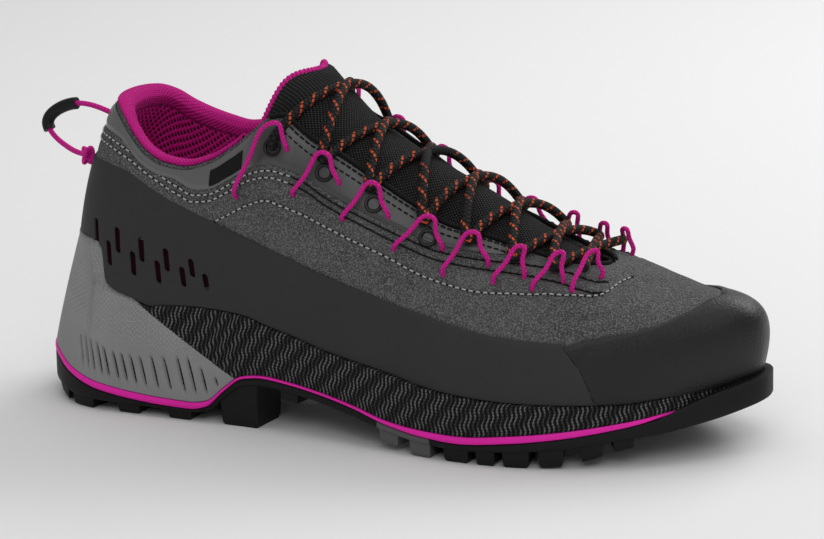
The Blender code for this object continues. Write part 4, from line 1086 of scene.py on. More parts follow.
def seam_lines():
    """Stitch lines of one side, each a list of stations and of heights."""
    lines = []
    double_at = np.linspace(0.004, DOUBLE_STITCH_END, 420)
    for drop in DOUBLE_STITCH_DROP:
        lines.append((double_at, HEEL_STACK + film_foot(double_at) - drop))
    single = Curve(SINGLE_STITCH, 1, level=True)
    single_at = np.linspace(SINGLE_STITCH[0][0], SINGLE_STITCH[-1][0], 300)
    lines.append((single_at, HEEL_STACK + single(single_at)))
    return lines


def band_rise(way, up):
    """Height of the padded band that runs under the collar film."""
    low = film_low(way[:, 0])[:, None]
    below = (low - up) * RIB_LENGTH
    rise = BAND_RISE * np.exp(-(np.maximum(below, 0) / BAND_REACH) ** 2) * soften(below / 0.8 + 0.5)
    return rise * soften((0.82 - station(way)) / 0.06)


def creases(way, up):
    """Soft troughs and ridges where the shoe flexes and where the heel pinches."""
    at = station(way)
    side = np.where(wrap(way) < 0, 1.0, 0.8)
    total = np.zeros(np.broadcast(way, up).shape)
    for middle, slant, height, reach, tall, depth in CREASES:
        offset = (at - middle - slant * (up - height)) / reach
        fade = np.exp(-((up - height) / tall) ** 2)
        total = total - depth * fade * (np.exp(-offset ** 2) - 0.6 * np.exp(-(offset - 1.8) ** 2))
    return total * side


def upper_lift(way, up, seams=True):
    lift = band_rise(way, up) + creases(way, up)
    if not seams:
        return lift
    columns = wrap(way[:, 0])
    for ats, heights in seam_lines():
        inside = (station(columns) >= ats[0]) & (station(columns) <= ats[-1])
        height = np.interp(station(columns), ats, heights)
        share = share_at(columns, height)
        gap = (up - share[:, None]) * RIB_LENGTH
        trough = SEAM_DEPTH * np.exp(-(gap / SEAM_REACH) ** 2)
        lift = lift - trough * inside[:, None]
    return lift


def laid(ways, low, high, rows, lift, thickness, edge=0.8, taper=(True, True)):
    """Outer and inner grids of a band between two lines, thinned towards its edges."""
    shares = np.linspace(0, 1, rows)
    up = low[:, None] + (high - low)[:, None] * shares[None, :]
    grid = np.repeat(ways[:, None], rows, axis=1) if ways.ndim == 1 else ways
    span = ((high - low) * RIB_LENGTH)[:, None]
    near = np.minimum(
        shares[None, :] * span if taper[0] else span,
        (1 - shares[None, :]) * span if taper[1] else span,
    )
    thin = 1 - 0.55 * (1 - soften(near / edge))
    outer = skin(grid, up, lift + thickness * thin)
    inner = skin(grid, up, lift)
    return outer, inner


def even_ways(count):
    return np.linspace(-1.0, 1.0, count, endpoint=False)


def sole_lap(count=560):
    lap = even_ways(count)
    return lap, station(lap)


def stacked(form, rings):
    """Rings of one body from its foot to its top, closed across both ends."""
    rings = [np.asarray(r) for r in rings]
    form.grid(np.stack(rings, 1), closed=True)
    count = len(rings[0])
    for level in (rings[0], rings[-1]):
        left = level[: count // 2 + 1]
        right = np.concatenate([level[:1], level[count // 2:][::-1]])[: count // 2 + 1]
        form.grid(np.stack([left, (left + right) / 2, right], 1))


def make_tread():
    lap, at = sole_lap()
    in_lip = soften((at - LIP_FROM + 0.006) / 0.012)
    foot = line_middle(at) - line_thickness(at) / 2
    bed = foot - CLEARANCE
    rim = bed + (np.maximum(lip_top(at), bed) - bed) * in_lip
    sheet = tread_sheet(at)
    wall = lip_wall(at)
    form = Form()
    rise = rim - sheet
    stacked(form, [
        ring(lap, 3.0, sheet),
        ring(lap, 1.0, sheet + 0.05),
        ring(lap, 0.35, sheet + 0.5),
        ring(lap, 0.0, sheet + 1.2),
        ring(lap, 0.0, sheet + rise * 0.5),
        ring(lap, 0.0, rim - 0.5),
        ring(lap, 0.35, rim - 0.05),
        ring(lap, 0.5 * wall + 0.2, rim),
        ring(lap, wall + 0.2, rim - 0.4 * in_lip),
        ring(lap, wall + 0.3, bed),
    ])
    add_lugs(form)
    form.close("tread", tread_rubber(), ["outsole"], "rubber", 35)


def add_lugs(form):
    for start, end, inset, width, side, drop in LUGS:
        inset = inset * BALL_WIDTH
        width = width * BALL_WIDTH
        shares = np.linspace(0, 1, 5)
        levels = []
        for depth, draft in ((0.0, 0.9), (0.12, 0.35), (0.3, 0.15), (1.0, -0.1)):
            near = start + draft / SOLE_LENGTH
            far = end - draft / SOLE_LENGTH
            at = near + (far - near) * shares
            front = ring(side * way_of(at), inset + draft, 0.0)
            back = ring(side * way_of(at), inset + width - draft, 0.0)
            loop = np.concatenate([front, back[::-1]])
            where = np.concatenate([at, at[::-1]])
            top = tread_sheet(where) + 0.6
            foot = tread_sheet(where) + (lug_foot(where) - tread_sheet(where)) * drop
            loop[:, 2] = foot + (top - foot) * depth
            levels.append(loop)
        form.grid(np.stack(levels, 1), closed=True)
        bottom = levels[0]
        form.grid(np.stack([bottom[:5], bottom[5:][::-1]], 1))


def make_foam_line():
    lap, at = sole_lap()
    inset = np.where(at > LIP_FROM, lip_inset(at), 0.0) - 0.1
    foot = line_middle(at) - line_thickness(at) / 2
    thick = line_thickness(at)
    form = Form()
    stacked(form, [
        ring(lap, inset + 0.45, foot),
        ring(lap, inset + 0.1, foot + 0.15 * thick),
        ring(lap, inset - 0.05, foot + 0.45 * thick),
        ring(lap, inset + 0.05, foot + 0.8 * thick),
        ring(lap, inset + 0.35, foot + thick),
    ])
    line = rubber("pink_foam", bpy.context.scene.shoe_looks.foam, 0.5, 0.03, 0.1)
    form.close("pink_line", line.material, ["foam_line"], "foam_line")


def cup_grid(lap, rows, relief=None):
    """Outer grid of the midsole cup and its inner wall."""
    at = station(lap)
    toe = np.where(at > LIP_FROM, lip_inset(at), 0.0)
    foot = line_middle(at) + line_thickness(at) / 2 + CLEARANCE
    rim = cup_top(at)
    rim_inset = np.maximum(cup_inset(at), toe)
    swell = Curve(((0.0, 0.0), (0.10, 0.3), (0.25, 1.0), (1.0, 1.0)), 1, level=True)
    bulge = Curve(((0.0, 0.0), (0.10, 0.5), (0.35, 1.0), (0.62, 0.9), (0.85, 0.4), (1.0, 0.0)), 1)
    outer = []
    for share in np.linspace(0, 1, rows):
        inset = 0.4 + toe + (rim_inset - toe - 0.4) * share ** 1.1
        inset = inset - BAND_SWELL * bulge(share) * np.where(at > LIP_FROM, 0.0, swell(at))
        height = foot + (rim - foot) * share
        wall = skin(lap, share_at(lap, height), CLEARANCE + CUP_WALL)
        level = ring(lap, inset, height)
        short = np.sum((wall - level)[:, :2] * outward(lap), -1)
        level[:, :2] += outward(lap) * np.maximum(short, 0)[:, None]
        outer.append(level)
    outer = np.stack(outer, 1)
    if relief is not None:
        push = relief(lap, outer)
        outer[..., :2] -= outward(lap)[:, None, :] * push[..., None]
    inner = []
    for share in (1.0, 0.6, 0.2):
        height = foot_bed(at) + (rim - foot_bed(at)) * share
        inner.append(skin(lap, share_at(lap, height), CLEARANCE))
    inner.append(ring(lap, feather_inset(at) - CLEARANCE, foot_bed(at)))
    return outer, np.stack(inner, 1)


def groove_runs(lap, outer):
    """For each slanted groove, how far each point lies from its line and up it."""
    at = station(lap)
    foot = line_middle(at) + line_thickness(at) / 2 + CLEARANCE
    along = np.r_[0, np.cumsum(np.linalg.norm(np.diff(outer[:, 0], axis=0), axis=1))]
    for side in (-1, 1):
        for where, tall in GROOVES:
            centre = np.interp(side * way_of(where), lap, along)
            low = np.interp(side * way_of(where), lap, foot) + GROOVE_FOOT
            share = (outer[..., 2] - low) / tall
            slide = (along[:, None] - centre) * side
            yield slide + (share - 0.5) * tall * GROOVE_LEAN, share


def groove_depth(lap, outer):
    """Depth of the grooves of the heel cradle at each point of its wall."""
    depth = np.zeros(outer.shape[:2])
    for slide, share in groove_runs(lap, outer):
        width = GROOVE_WIDTH * (0.55 + 0.45 * np.sin(np.pi * np.clip(share, 0, 1)))
        ends = soften(share / 0.12) * soften((1 - share) / 0.12)
        notch = 1 - soften(np.abs(slide) / width)
        depth = np.maximum(depth, GROOVE_DEPTH * notch * ends)
    return depth


def split_cup(keep_cradle):
    """Cuts a cup along its slanted joint and keeps the cradle or the midsole."""
    back, front = JOINT[2], JOINT[0]
    back = Vector((back[0] * SOLE_LENGTH * MM, 0.0, back[1] * HEEL_STACK * MM))
    front = Vector((front[0] * SOLE_LENGTH * MM, 0.0, front[1] * HEEL_STACK * MM))
    slope = (front - back).normalized()
    above = Vector((-slope.z, 0.0, slope.x))

    def cut(grown):
        upright = Vector((1.0, 0.0, 0.0))
        for point, normal in ((front, above), (back, upright)):
            shift = normal * (CLEARANCE * MM / 2) * (-1 if keep_cradle else 1)
            geometry = grown.verts[:] + grown.edges[:] + grown.faces[:]
            bmesh.ops.bisect_plane(grown, geom=geometry, plane_co=point + shift, plane_no=normal)
        lost = []
        for face in grown.faces:
            middle = face.calc_center_median()
            in_front = (middle - back).dot(upright) > 0 and (middle - front).dot(above) > 0
            if in_front == keep_cradle:
                lost.append(face)
        bmesh.ops.delete(grown, geom=lost, context="FACES")

    return cut


def make_cradle():
    reach = float(way_of(0.372))
    lap = np.linspace(-reach, reach, 640)
    outer, inner = cup_grid(lap, 44, groove_depth)
    form = Form()
    form.grid(np.concatenate([outer, inner], 1))
    form.close("cradle", cradle_foam(), ["heel_cradle"], "grey_foam", 60, split_cup(True))
    # Dark tubes laid along the groove bottoms are painted shade in the grooves.
    shade = Form()
    rows = np.arange(outer.shape[1])
    for slide, share in groove_runs(lap, cup_grid(lap, 44)[0]):
        column = np.abs(slide).argmin(axis=0)
        up = share[column, rows]
        path = outer[column, rows][(up > 0.10) & (up < 0.90)]
        if len(path) > 2:
            shade.tube(path, GROOVE_SHADE, 6)
    dark = rubber("groove_shade", grey(0.012), 0.9, 0.02, 0.2, 0.05)
    shade.close("groove_painted_shade", dark.material, (), "grey_foam", 60)


def make_midsole():
    start = float(way_of(0.115))
    lap = np.linspace(start, 2.0 - start, 620)
    outer, inner = cup_grid(lap, 26)
    form = Form()
    form.grid(np.concatenate([outer, inner], 1))
    form.close("knit_midsole", knit_band(), ["midsole"], "knit", 60, split_cup(False))


def make_insole():
    lap, at = sole_lap(240)
    inset = feather_inset(at) + UPPER_WALL + 3 * CLEARANCE
    foot = foot_bed(at) + CLEARANCE
    form = Form()
    stacked(form, [
        ring(lap, inset + 0.5, foot),
        ring(lap, inset, foot + 0.4 * INSOLE_THICKNESS),
        ring(lap, inset + 0.2, foot + 0.9 * INSOLE_THICKNESS),
        ring(lap, inset + 1.0, foot + INSOLE_THICKNESS),
    ])
    colour = shaded(bpy.context.scene.shoe_looks.pink, 0.4)
    graph = rubber("footbed", colour, 0.85, 0.1, 0.3)
    form.close("footbed", graph.material, ["insole"], "insole")


def make_upper():
    ways = even_ways(520)
    ups = np.linspace(0, 1, 84)
    grid, up = np.broadcast_arrays(ways[:, None], ups[None, :])
    outer = skin(grid, up, upper_lift(grid, up))
    coarse = np.linspace(0, 1, 24)
    inner = skin(ways[:, None], coarse[None, :], -UPPER_WALL)
    inner[:, 0, 2] = outer[:, 0, 2]
    at = station(ways)
    form = Form()
    form.grid(outer, closed=True)
    form.grid(inner, closed=True)
    form.grid(np.stack([outer[:, 0], inner[:, 0]], 1), closed=True)
    rim = np.flatnonzero(at <= THROAT_END)
    form.grid(np.stack([outer[rim, -1], inner[rim, -1]], 1))
    form.close("nubuck_upper", nubuck(), ["upper"], "nubuck")


def slot_cutters(form):
    for side in (-1, 1):
        for at, up, tall in SLOTS:
            tall = tall * SLOT_GROWTH
            way = side * float(way_of(at))
            middle = skin(way, up)
            normal = skin(way, up, 1.0) - middle
            rise = skin(way, up + 0.01) - middle
            rise = rise - normal * (rise @ normal)
            rise = rise / np.linalg.norm(rise)
            ahead = np.cross(rise, normal) * side
            if ahead[0] < 0:
                ahead = -ahead
            corners = []
            turns = np.linspace(0, 2 * np.pi, 16, endpoint=False)
            for turn in turns:
                x = 0.5 * SLOT_WIDTH * math.cos(turn)
                z = 0.5 * SLOT_WIDTH * math.sin(turn)
                z = z + math.copysign((tall - SLOT_WIDTH) / 2, z + 1e-9)
                corners.append((x - SLOT_LEAN * z) * ahead + z * rise)
            corners = np.array(corners)
            near = middle + corners - normal * 0.2
            far = middle + corners + normal * 3.0
            form.grid(np.stack([near, far], 1), closed=True)
            for level in (near, far):
                form.grid(np.stack([level[:9], np.concatenate([level[:1], level[8:][::-1]])[:9]], 1))


def make_rand():
    count = 30
    slant = way_of(np.linspace(RAND_FRONT[0], RAND_FRONT[1], count))
    upright = way_of(0.745)
    blend = np.linspace(0, 1, 26)[:, None]
    front = slant[None, :] + (upright - slant)[None, :] * blend
    middle = np.linspace(-upright, upright, 420)[1:-1]
    grid = np.vstack([-front, np.repeat(middle[:, None], count, axis=1), front[::-1]])
    at = station(grid)
    low = share_at(grid[:, 0], cup_top(at[:, 0]) + CLEARANCE + 0.1)
    high = share_at(grid[:, -1], HEEL_STACK + rand_top(at[:, -1]))
    outer, inner = laid(grid, low, high, count, CLEARANCE, OVERLAY, 1.4, (False, True))
    form = Form()
    form.shell(outer, inner)
    graph = rubber("rand_rubber", bpy.context.scene.shoe_looks.rand, 0.6, 0.035, 0.3, 0.16)
    made = form.close("rubber_rand", graph.material, ["rand"], "rand")
    cutter = Form()
    slot_cutters(cutter)
    block = cutter.close("slot_block", graph.material)
    hole = made.modifiers.new("slots", "BOOLEAN")
    hole.operation = "DIFFERENCE"
    hole.solver = "EXACT"
    hole.object = block
    bpy.context.view_layer.update()
    shaped = made.evaluated_get(bpy.context.evaluated_depsgraph_get())
    whole = bpy.data.meshes.new_from_object(shaped)
    made.modifiers.clear()
    made.data = whole
    bpy.data.objects.remove(block)
    make_vents()


def make_vents():
    """Pink mesh that shows through the slots, coloured near black as painted shade of the slot insides.
    """
    ways = np.linspace(-float(way_of(0.30)), float(way_of(0.30)), 120)
    form = Form()
    low = np.full(len(ways), 0.33)
    high = np.full(len(ways), 0.56)
    outer, inner = laid(ways, low, high, 6, 0.06, 0.16)
    form.shell(outer, inner)
    # The near-black colour is painted shade laid over the mesh's own pink.
    graph = rubber("vent_mesh_painted_shade", (0.012, 0.002, 0.006, 1.0), 0.9, 0.1, 0.6, 0.05)
    form.close("vent_mesh_painted_shade", graph.material, (), "lining")


def make_toe_cap():
    count = 46
    slant = way_of(np.linspace(CAP_BACK[0], CAP_BACK[1], count))
    upright = way_of(0.865)
    blend = np.linspace(0, 1, 26)[:, None]
    back = slant[None, :] + (upright - slant)[None, :] * blend
    middle = np.linspace(upright, 2 - upright, 220)[1:-1]
    grid = np.vstack([back, np.repeat(middle[:, None], count, axis=1), 2.0 - back[::-1]])
    at = station(grid)
    foot = np.maximum(cup_top(at[:, 0]), lip_top(at[:, 0]))
    low = share_at(grid[:, 0], foot + CLEARANCE + 0.1)
    outer, inner = laid(grid, low, cap_top(at[:, -1]), count, CLEARANCE, OVERLAY, 2.2, (False, True))
    form = Form()
    form.shell(outer, inner)
    colour = bpy.context.scene.shoe_looks.cap
    graph = Graph("cap_rubber", colour, 0.5, shine=0.40)
    place = graph.place()
    grain = graph.noise(place, 1100.0, 3.0, 0.65)
    cloud = graph.noise(place, 55.0, 3.0, 0.6)
    graph.set("Base Color", graph.blend(cloud, shaded(colour, 0.8), shaded(colour, 1.5)))
    graph.set("Roughness", cloud * 0.12 + 0.32)
    graph.bump(grain, 0.30)
    form.close("rubber_cap", graph.material, ["toe_cap"], "toe_cap")


def make_film():
    reach = float(way_of(FILM_FRONT))
    ways = np.linspace(-reach, reach, 520)
    low = film_low(ways)
    outer, inner = laid(ways, low, np.full(len(ways), FILM_TOP), 20, CLEARANCE, OVERLAY, 2.0)
    form = Form()
    form.shell(outer, inner)
    form.close("film_collar", film_sheet(), ["collar_film"], "film")


def make_lining():
    reach = float(way_of(LINING_FRONT))
    ways = np.linspace(-reach, reach, 360)
    inside = UPPER_WALL + CLEARANCE
    top = skin(ways, 1.0)
    normal = skin(ways, 1.0, 1.0) - top
    rise = top - skin(ways, 0.97)
    rise = rise / np.linalg.norm(rise, axis=1, keepdims=True)
    line = [skin(ways, up, -inside) for up in (LINING_FOOT, 0.70, 1.0)]
    roll = (
        (-inside, 0.4), (0.2, 0.4), (0.7, 0.9), (0.6, 1.6), (-0.4, 2.2), (-1.6, 2.6),
        (-3.0, 2.7), (-4.4, 2.3), (-5.6, 1.5), (-6.4, 0.5),
    )
    line += [top + normal * out + rise * lift for out, lift in roll]
    rim_count = len(line)
    for up, deep in LINING_DEPTHS:
        line.append(skin(ways, up, -inside - LINING_THICKNESS * deep))
    sections = np.stack(line, 1)
    share = np.linspace(0, 1, sections.shape[1])
    fine = np.linspace(0, 1, 64)
    shaped = np.empty((len(ways), len(fine), 3))
    for index in range(len(ways)):
        for axis in range(3):
            rows = np.column_stack([share, sections[index, :, axis]])
            shaped[index, :, axis] = Curve(rows, 1)(fine)
    flat = lay_out(shaped)
    on_rim = (fine >= share[3]) & (fine <= share[rim_count])
    flat[:, on_rim, 1] += 200.0
    form = Form()
    form.grid(shaped, flat=flat)
    for row in (0, -1):
        form.grid(np.stack([shaped[row], np.repeat(shaped[row].mean(0)[None], len(fine), 0)], 1))
    form.grid(np.stack([shaped[:, 0], shaped[:, -1]], 1))
    made = form.close("mesh_collar", mesh_lining(), ["collar_lining"], "lining", 70)


def tongue_grid():
    """Points of the tongue's outer face from its front to its top."""
    inside = UPPER_WALL + CLEARANCE
    rows = []
    for forward, height, at, thick, share in TONGUE:
        forward = forward * SOLE_LENGTH
        height = HEEL_STACK + height * HEEL_HEIGHT
        ridge = np.array([forward, float(centre_shift(forward / SOLE_LENGTH + 0.5)), height])
        line = []
        for side in (-1, 1):
            way = side * way_of(at)
            reach = (0.86, 0.93) if at < THROAT_END else (0.62, 0.80)
            wing = [skin(way, up, -inside - 0.9) for up in reach]
            gain = ridge - wing[1]
            shares = ((share * 0.6, 0.18, share), (0.75, 0.52, 0.64 + share / 2))
            line.append(wing + [wing[1] + gain * np.array(row) for row in shares])
        rows.append(line[0] + [ridge] + line[1][::-1])
    return np.array(rows)


def refine(points, rows, columns):
    """Smooth finer grid through a grid of points."""
    share = np.linspace(0, 1, points.shape[0])
    fine = np.linspace(0, 1, rows)
    tall = np.empty((rows, points.shape[1], 3))
    for k in range(points.shape[1]):
        for axis in range(3):
            tall[:, k, axis] = Curve(np.column_stack([share, points[:, k, axis]]), 1)(fine)
    share = np.linspace(0, 1, points.shape[1])
    fine = np.linspace(0, 1, columns)
    wide = np.empty((rows, columns, 3))
    for i in range(rows):
        for axis in range(3):
            wide[i, :, axis] = Curve(np.column_stack([share, tall[i, :, axis]]), 1)(fine)
    return wide


def make_tongue():
    outer = refine(tongue_grid(), 120, 96)
    along = np.gradient(outer, axis=0)
    across = np.gradient(outer, axis=1)
    normal = np.cross(across, along)
    normal = normal / np.linalg.norm(normal, axis=2, keepdims=True)
    if normal[60, 48, 2] < 0:
        normal = -normal
    side = np.abs(np.linspace(-1, 1, 96))[None, :, None]
    depth = 0.4 + 0.6 * soften((1 - side) / 0.5)
    thick = np.interp(np.linspace(0, 1, 120), np.linspace(0, 1, len(TONGUE)), [row[3] for row in TONGUE])
    depth = depth * thick[:, None, None] * TONGUE_THICKNESS
    end = soften(np.linspace(0, 1, 120)[::-1] / 0.03)[:, None, None]
    inner = outer - normal * depth * (0.45 + 0.55 * end)
    outer = outer - normal * depth * 0.22 * (1 - end)
    form = Form()
    form.shell(outer, inner)
    made = form.close("knit_tongue", knit_tongue(), ["tongue"], "tongue", 70)
    rim = (outer[-1] + inner[-1]) / 2
    path = eased(rim[8:-8].copy(), 12)
    length = np.r_[0, np.cumsum(np.linalg.norm(np.diff(path, axis=0), axis=1))]
    steps = np.linspace(0, length[-1], 420)
    path = np.column_stack([np.interp(steps, length, path[:, axis]) for axis in range(3)])
    radius = 1.15 + 0.18 * np.sin(steps * 2 * np.pi / 1.7)
    edge = Form()
    edge.tube(path, radius, 10)
    knit = braid("pink_knit", bpy.context.scene.shoe_looks.pink, 0.13)
    edge.close("tongue_edge", knit, (), "lining", 70)


def loop_path(row, side):
    stand = CLEARANCE * 2 + OVERLAY + LOOP_DIAMETER / 2
    raised = CLEARANCE * 8 + OVERLAY + LACE_DIAMETER + LOOP_DIAMETER / 2
    ways = side * way_of(np.array(row[:3]))
    heights = np.array(row[3:6])
    apex = raised + row[6]
    knots = [
        skin(ways[0], heights[0] - 0.012, 0.2),
        skin(ways[0] * 0.97 + ways[1] * 0.03, heights[0], stand),
        skin((ways[0] + ways[1]) / 2, (heights[0] + heights[1]) / 2, (stand + apex) / 2),
        skin(ways[1] * 0.96 + ways[0] * 0.04, heights[1], apex),
        skin(ways[1] * 0.80 + ways[2] * 0.20, heights[1], apex),
        skin((ways[2] + ways[1]) / 2, (heights[2] + heights[1]) / 2, (stand + apex) / 2),
        skin(ways[2] * 0.97 + ways[1] * 0.03, heights[2], stand),
        skin(ways[2], heights[2] - 0.012, 0.2),
    ]
    return smooth_path(knots, 44)


def make_loops():
    form = Form()
    for side in (-1, 1):
        for row in LOOPS:
            form.tube(loop_path(row, side), LOOP_DIAMETER / 2 - 0.1, 10)
    knit = braid("pink_cord", bpy.context.scene.shoe_looks.cord, 0.16)
    form.close("pink_loops", knit, numbered("lace_loop", len(LOOPS)), "loop_cord", 60)


def eased(path, passes):
    """Path with its corners rounded off."""
    for _ in range(passes):
        path[1:-1] = path[1:-1] * 0.5 + (path[:-2] + path[2:]) * 0.25
    return path


def strand(start, end, shift, steps=40):
    shares = np.linspace(0, 1, steps)[:, None]
    path = start + (end - start) * shares
    middle = (start + end) / 2
    middle[0] += shift
    path[:, 0] += shift * (1 - (1 - 2 * shares[:, 0]) ** 2)
    over = max(float(ridge_line(middle[0])), float(edge_line(middle[0])))
    crest = over + HEEL_STACK + 2.5 * CLEARANCE + LACE_DIAMETER / 2
    fall = np.abs(1 - 2 * shares[:, 0]) ** LACE_ROUND
    base = np.where(shares[:, 0] < 0.5, start[2], end[2])
    path[:, 2] = crest - (crest - base) * fall
    return path


def make_laces():
    turns = {}
    for side in (-1, 1):
        for number, row in enumerate(LOOPS, 1):
            way = side * way_of(row[1] + TURN_BACK)
            lift = CLEARANCE * 5 + OVERLAY + LACE_DIAMETER / 2 + TURN_LIFT
            turns[side, number] = skin(way, row[4] - TURN_DROP, lift)
    form = Form()
    for first in (-1, 1):
        way = first * float(way_of(EYELETS[0][0]))
        end = skin(way, EYELETS[0][1], OVERLAY)
        path = [np.linspace(end, turns[first, 1], 5)[:-1]]
        side = first
        for number in range(1, len(LOOPS)):
            shift = CROSSING_SHIFT[min(number, len(CROSSING_SHIFT)) - 1] * SOLE_LENGTH
            path.append(strand(turns[side, number], turns[-side, number + 1], shift)[:-1])
            side = -side
        path.append(turns[side, len(LOOPS)][None, :])
        path = np.concatenate(path)
        path = eased(path, 5)
        form.tube(path, LACE_DIAMETER / 2, 14)
    looks = bpy.context.scene.shoe_looks
    made = braid("lace_braid", looks.lace, 0.17, tuple(looks.dashes), 0.6, 2.6)
    form.close("round_laces", made, ["laces"], "lace", 60)


def make_pull():
    line = [(x * SOLE_LENGTH, y * BALL_WIDTH, HEEL_STACK + z * HEEL_HEIGHT) for x, y, z in PULL]
    path = smooth_path(line, 81)
    form = Form()
    form.tube(path, PULL_DIAMETER / 2, 12)
    knit = braid("pull_braid", bpy.context.scene.shoe_looks.cord, 0.16)
    cord = form.close("pull_loop", knit, ["pull_cord"], "loop_cord", 60)
    bend = path[SLEEVE[0] * 4:(SLEEVE[1] - 1) * 4 + 1]
    sleeve = Form()
    sleeve.tube(bend, SLEEVE_DIAMETER / 2, 20, caps=False)
    sleeve.tube(bend, PULL_DIAMETER / 2 + CLEARANCE, 20, caps=False)
    for row in (0, -1):
        outer = sleeve.points[0].reshape(len(bend), 21, 3)[row]
        inner = sleeve.points[1].reshape(len(bend), 21, 3)[row]
        sleeve.grid(np.stack([outer, inner], 1))
    cover = rubber("sleeve_tape", grey(0.009), 0.5, 0.05, 0.3)
    sleeve = sleeve.close("pull_cover", cover.material, ["pull_sleeve"], "sleeve", 50)
    knot = Form()
    middle = np.array([KNOT[0] * SOLE_LENGTH, KNOT[1] * BALL_WIDTH, HEEL_STACK + KNOT[2] * HEEL_HEIGHT])
    turn = np.linspace(0, 2 * np.pi, 120, endpoint=False)
    reach = np.array(KNOT_REACH) * PULL_DIAMETER
    wind = np.column_stack([
        np.sin(turn) + 2 * np.sin(2 * turn),
        np.cos(turn) - 2 * np.cos(2 * turn),
        -np.sin(3 * turn),
    ])
    wind = wind / np.abs(wind).max(0) * (reach - PULL_DIAMETER / 2)
    knot.tube(middle + wind, PULL_DIAMETER / 2, 10, closed=True)
    knot = knot.close("cord_knot", knit, ["pull_knot"], "loop_cord", 60)


def make_eyelets():
    form = Form()
    for side in (-1, 1):
        for at, up in EYELETS:
            way = side * way_of(at)
            centre = skin(way, up, 2 * CLEARANCE + OVERLAY)
            normal = skin(way, up, 3 * CLEARANCE + OVERLAY) - centre
            normal = normal / np.linalg.norm(normal)
            east = np.cross(normal, (0.0, 1.0, 0.0))
            east = east / np.linalg.norm(east)
            north = np.cross(normal, east)
            turns = np.linspace(0, 2 * np.pi, 33)[:-1, None]
            out = np.cos(turns) * east + np.sin(turns) * north
            rings = []
            for width, lift in EYELET_RINGS:
                rings.append(centre + out * width * EYELET_DIAMETER + normal * lift)
            form.grid(np.stack(rings, 1), closed=True)
    graph = Graph("eyelet_metal", grey(0.02), 0.38, 0.6)
    form.close("eyelet_rings", graph.material, numbered("eyelet", len(EYELETS)), "eyelet", 40)


def seam_path(side, ats, heights, lift):
    way = side * way_of(ats)
    share = share_at(way, heights)
    grid = np.stack([way, way], 1)
    rise = upper_lift(grid, np.stack([share, share], 1), seams=False)[:, 0]
    path = skin(way, share, rise + lift)
    normal = skin(way, share, rise + lift + 1.0) - path
    return path, normal


def stitch(form, path, normal, length, pitch, radius):
    run = np.r_[0, np.cumsum(np.linalg.norm(np.diff(path, axis=0), axis=1))]
    starts = np.arange(0.5, run[-1] - length, pitch)
    for start in starts:
        at = start + length * np.array([0.0, 0.12, 0.5, 0.88, 1.0])
        points = np.column_stack([np.interp(at, run, path[:, axis]) for axis in range(3)])
        out = np.column_stack([np.interp(at, run, normal[:, axis]) for axis in range(3)])
        points = points + out * np.array([-0.45, 0.05, 0.22, 0.05, -0.45])[:, None]
        form.tube(points, radius, 5)


def make_stitches():
    settings = bpy.context.scene.shoe_looks
    length = settings.stitch_length / MM
    pitch = length + settings.stitch_gap / MM
    radius = settings.stitch_width / MM / 2
    pale = Form()
    dark = Form()
    for side in (-1, 1):
        for number, (ats, heights) in enumerate(seam_lines()):
            keep = ats < (0.79 if side > 0 else 1.0)
            path, normal = seam_path(side, ats[keep], heights[keep], 0.0)
            split = len(path)
            if number < len(DOUBLE_STITCH_DROP):
                split = np.searchsorted(ats, PALE_STITCH_END)
                stitch(dark, path[split - 1:], normal[split - 1:], length, pitch, radius)
            stitch(pale, path[:split], normal[:split], length, pitch, radius)
            # A dark tube sunk under each seam line is painted shade in the seam's trough.
            dark.tube(path - normal * 0.12, SEAM_SHADE, 6)
        for up in (0.968, 0.93):
            way = side * way_of(np.linspace(0.372, 0.690, 260))
            path = skin(way, up, CLEARANCE + OVERLAY)
            normal = skin(way, up, CLEARANCE + OVERLAY + 1.0) - path
            stitch(dark, path, normal, 1.7, 2.5, 0.3)
        throat = side * way_of(np.linspace(0.36, 0.797, 300))
        dark.tube(skin(throat, 1.0, 0.25), 0.95, 8)
    thread = rubber("pale_thread", settings.thread, 0.8, 0.02, 0.2)
    pale.close("pale_stitches", thread.material, (), "nubuck", 60)
    thread = rubber("dark_thread_and_seam_shade", grey(0.006), 0.8, 0.05, 0.3)
    dark.close("dark_piping_and_seam_shade", thread.material, (), "tongue", 60)


def make_tab():
    """Plain dark tab on the collar film above the double stitch."""
    ways = -way_of(np.linspace(0.262, 0.322, 24))
    low = film_low(ways) + 0.012
    high = low + 0.085
    outer, inner = laid(ways, low, high, 8, CLEARANCE + OVERLAY + 0.02, 0.5, 0.5)
    form = Form()
    form.shell(outer, inner)
    graph = rubber("tab_weave", grey(0.007), 0.8, 0.1, 0.3)
    form.close("dark_tab", graph.material, (), "sleeve", 40)


# stage
def aim(place, target):
    return (Vector(target) - Vector(place)).to_track_quat("-Z", "Y").to_euler()


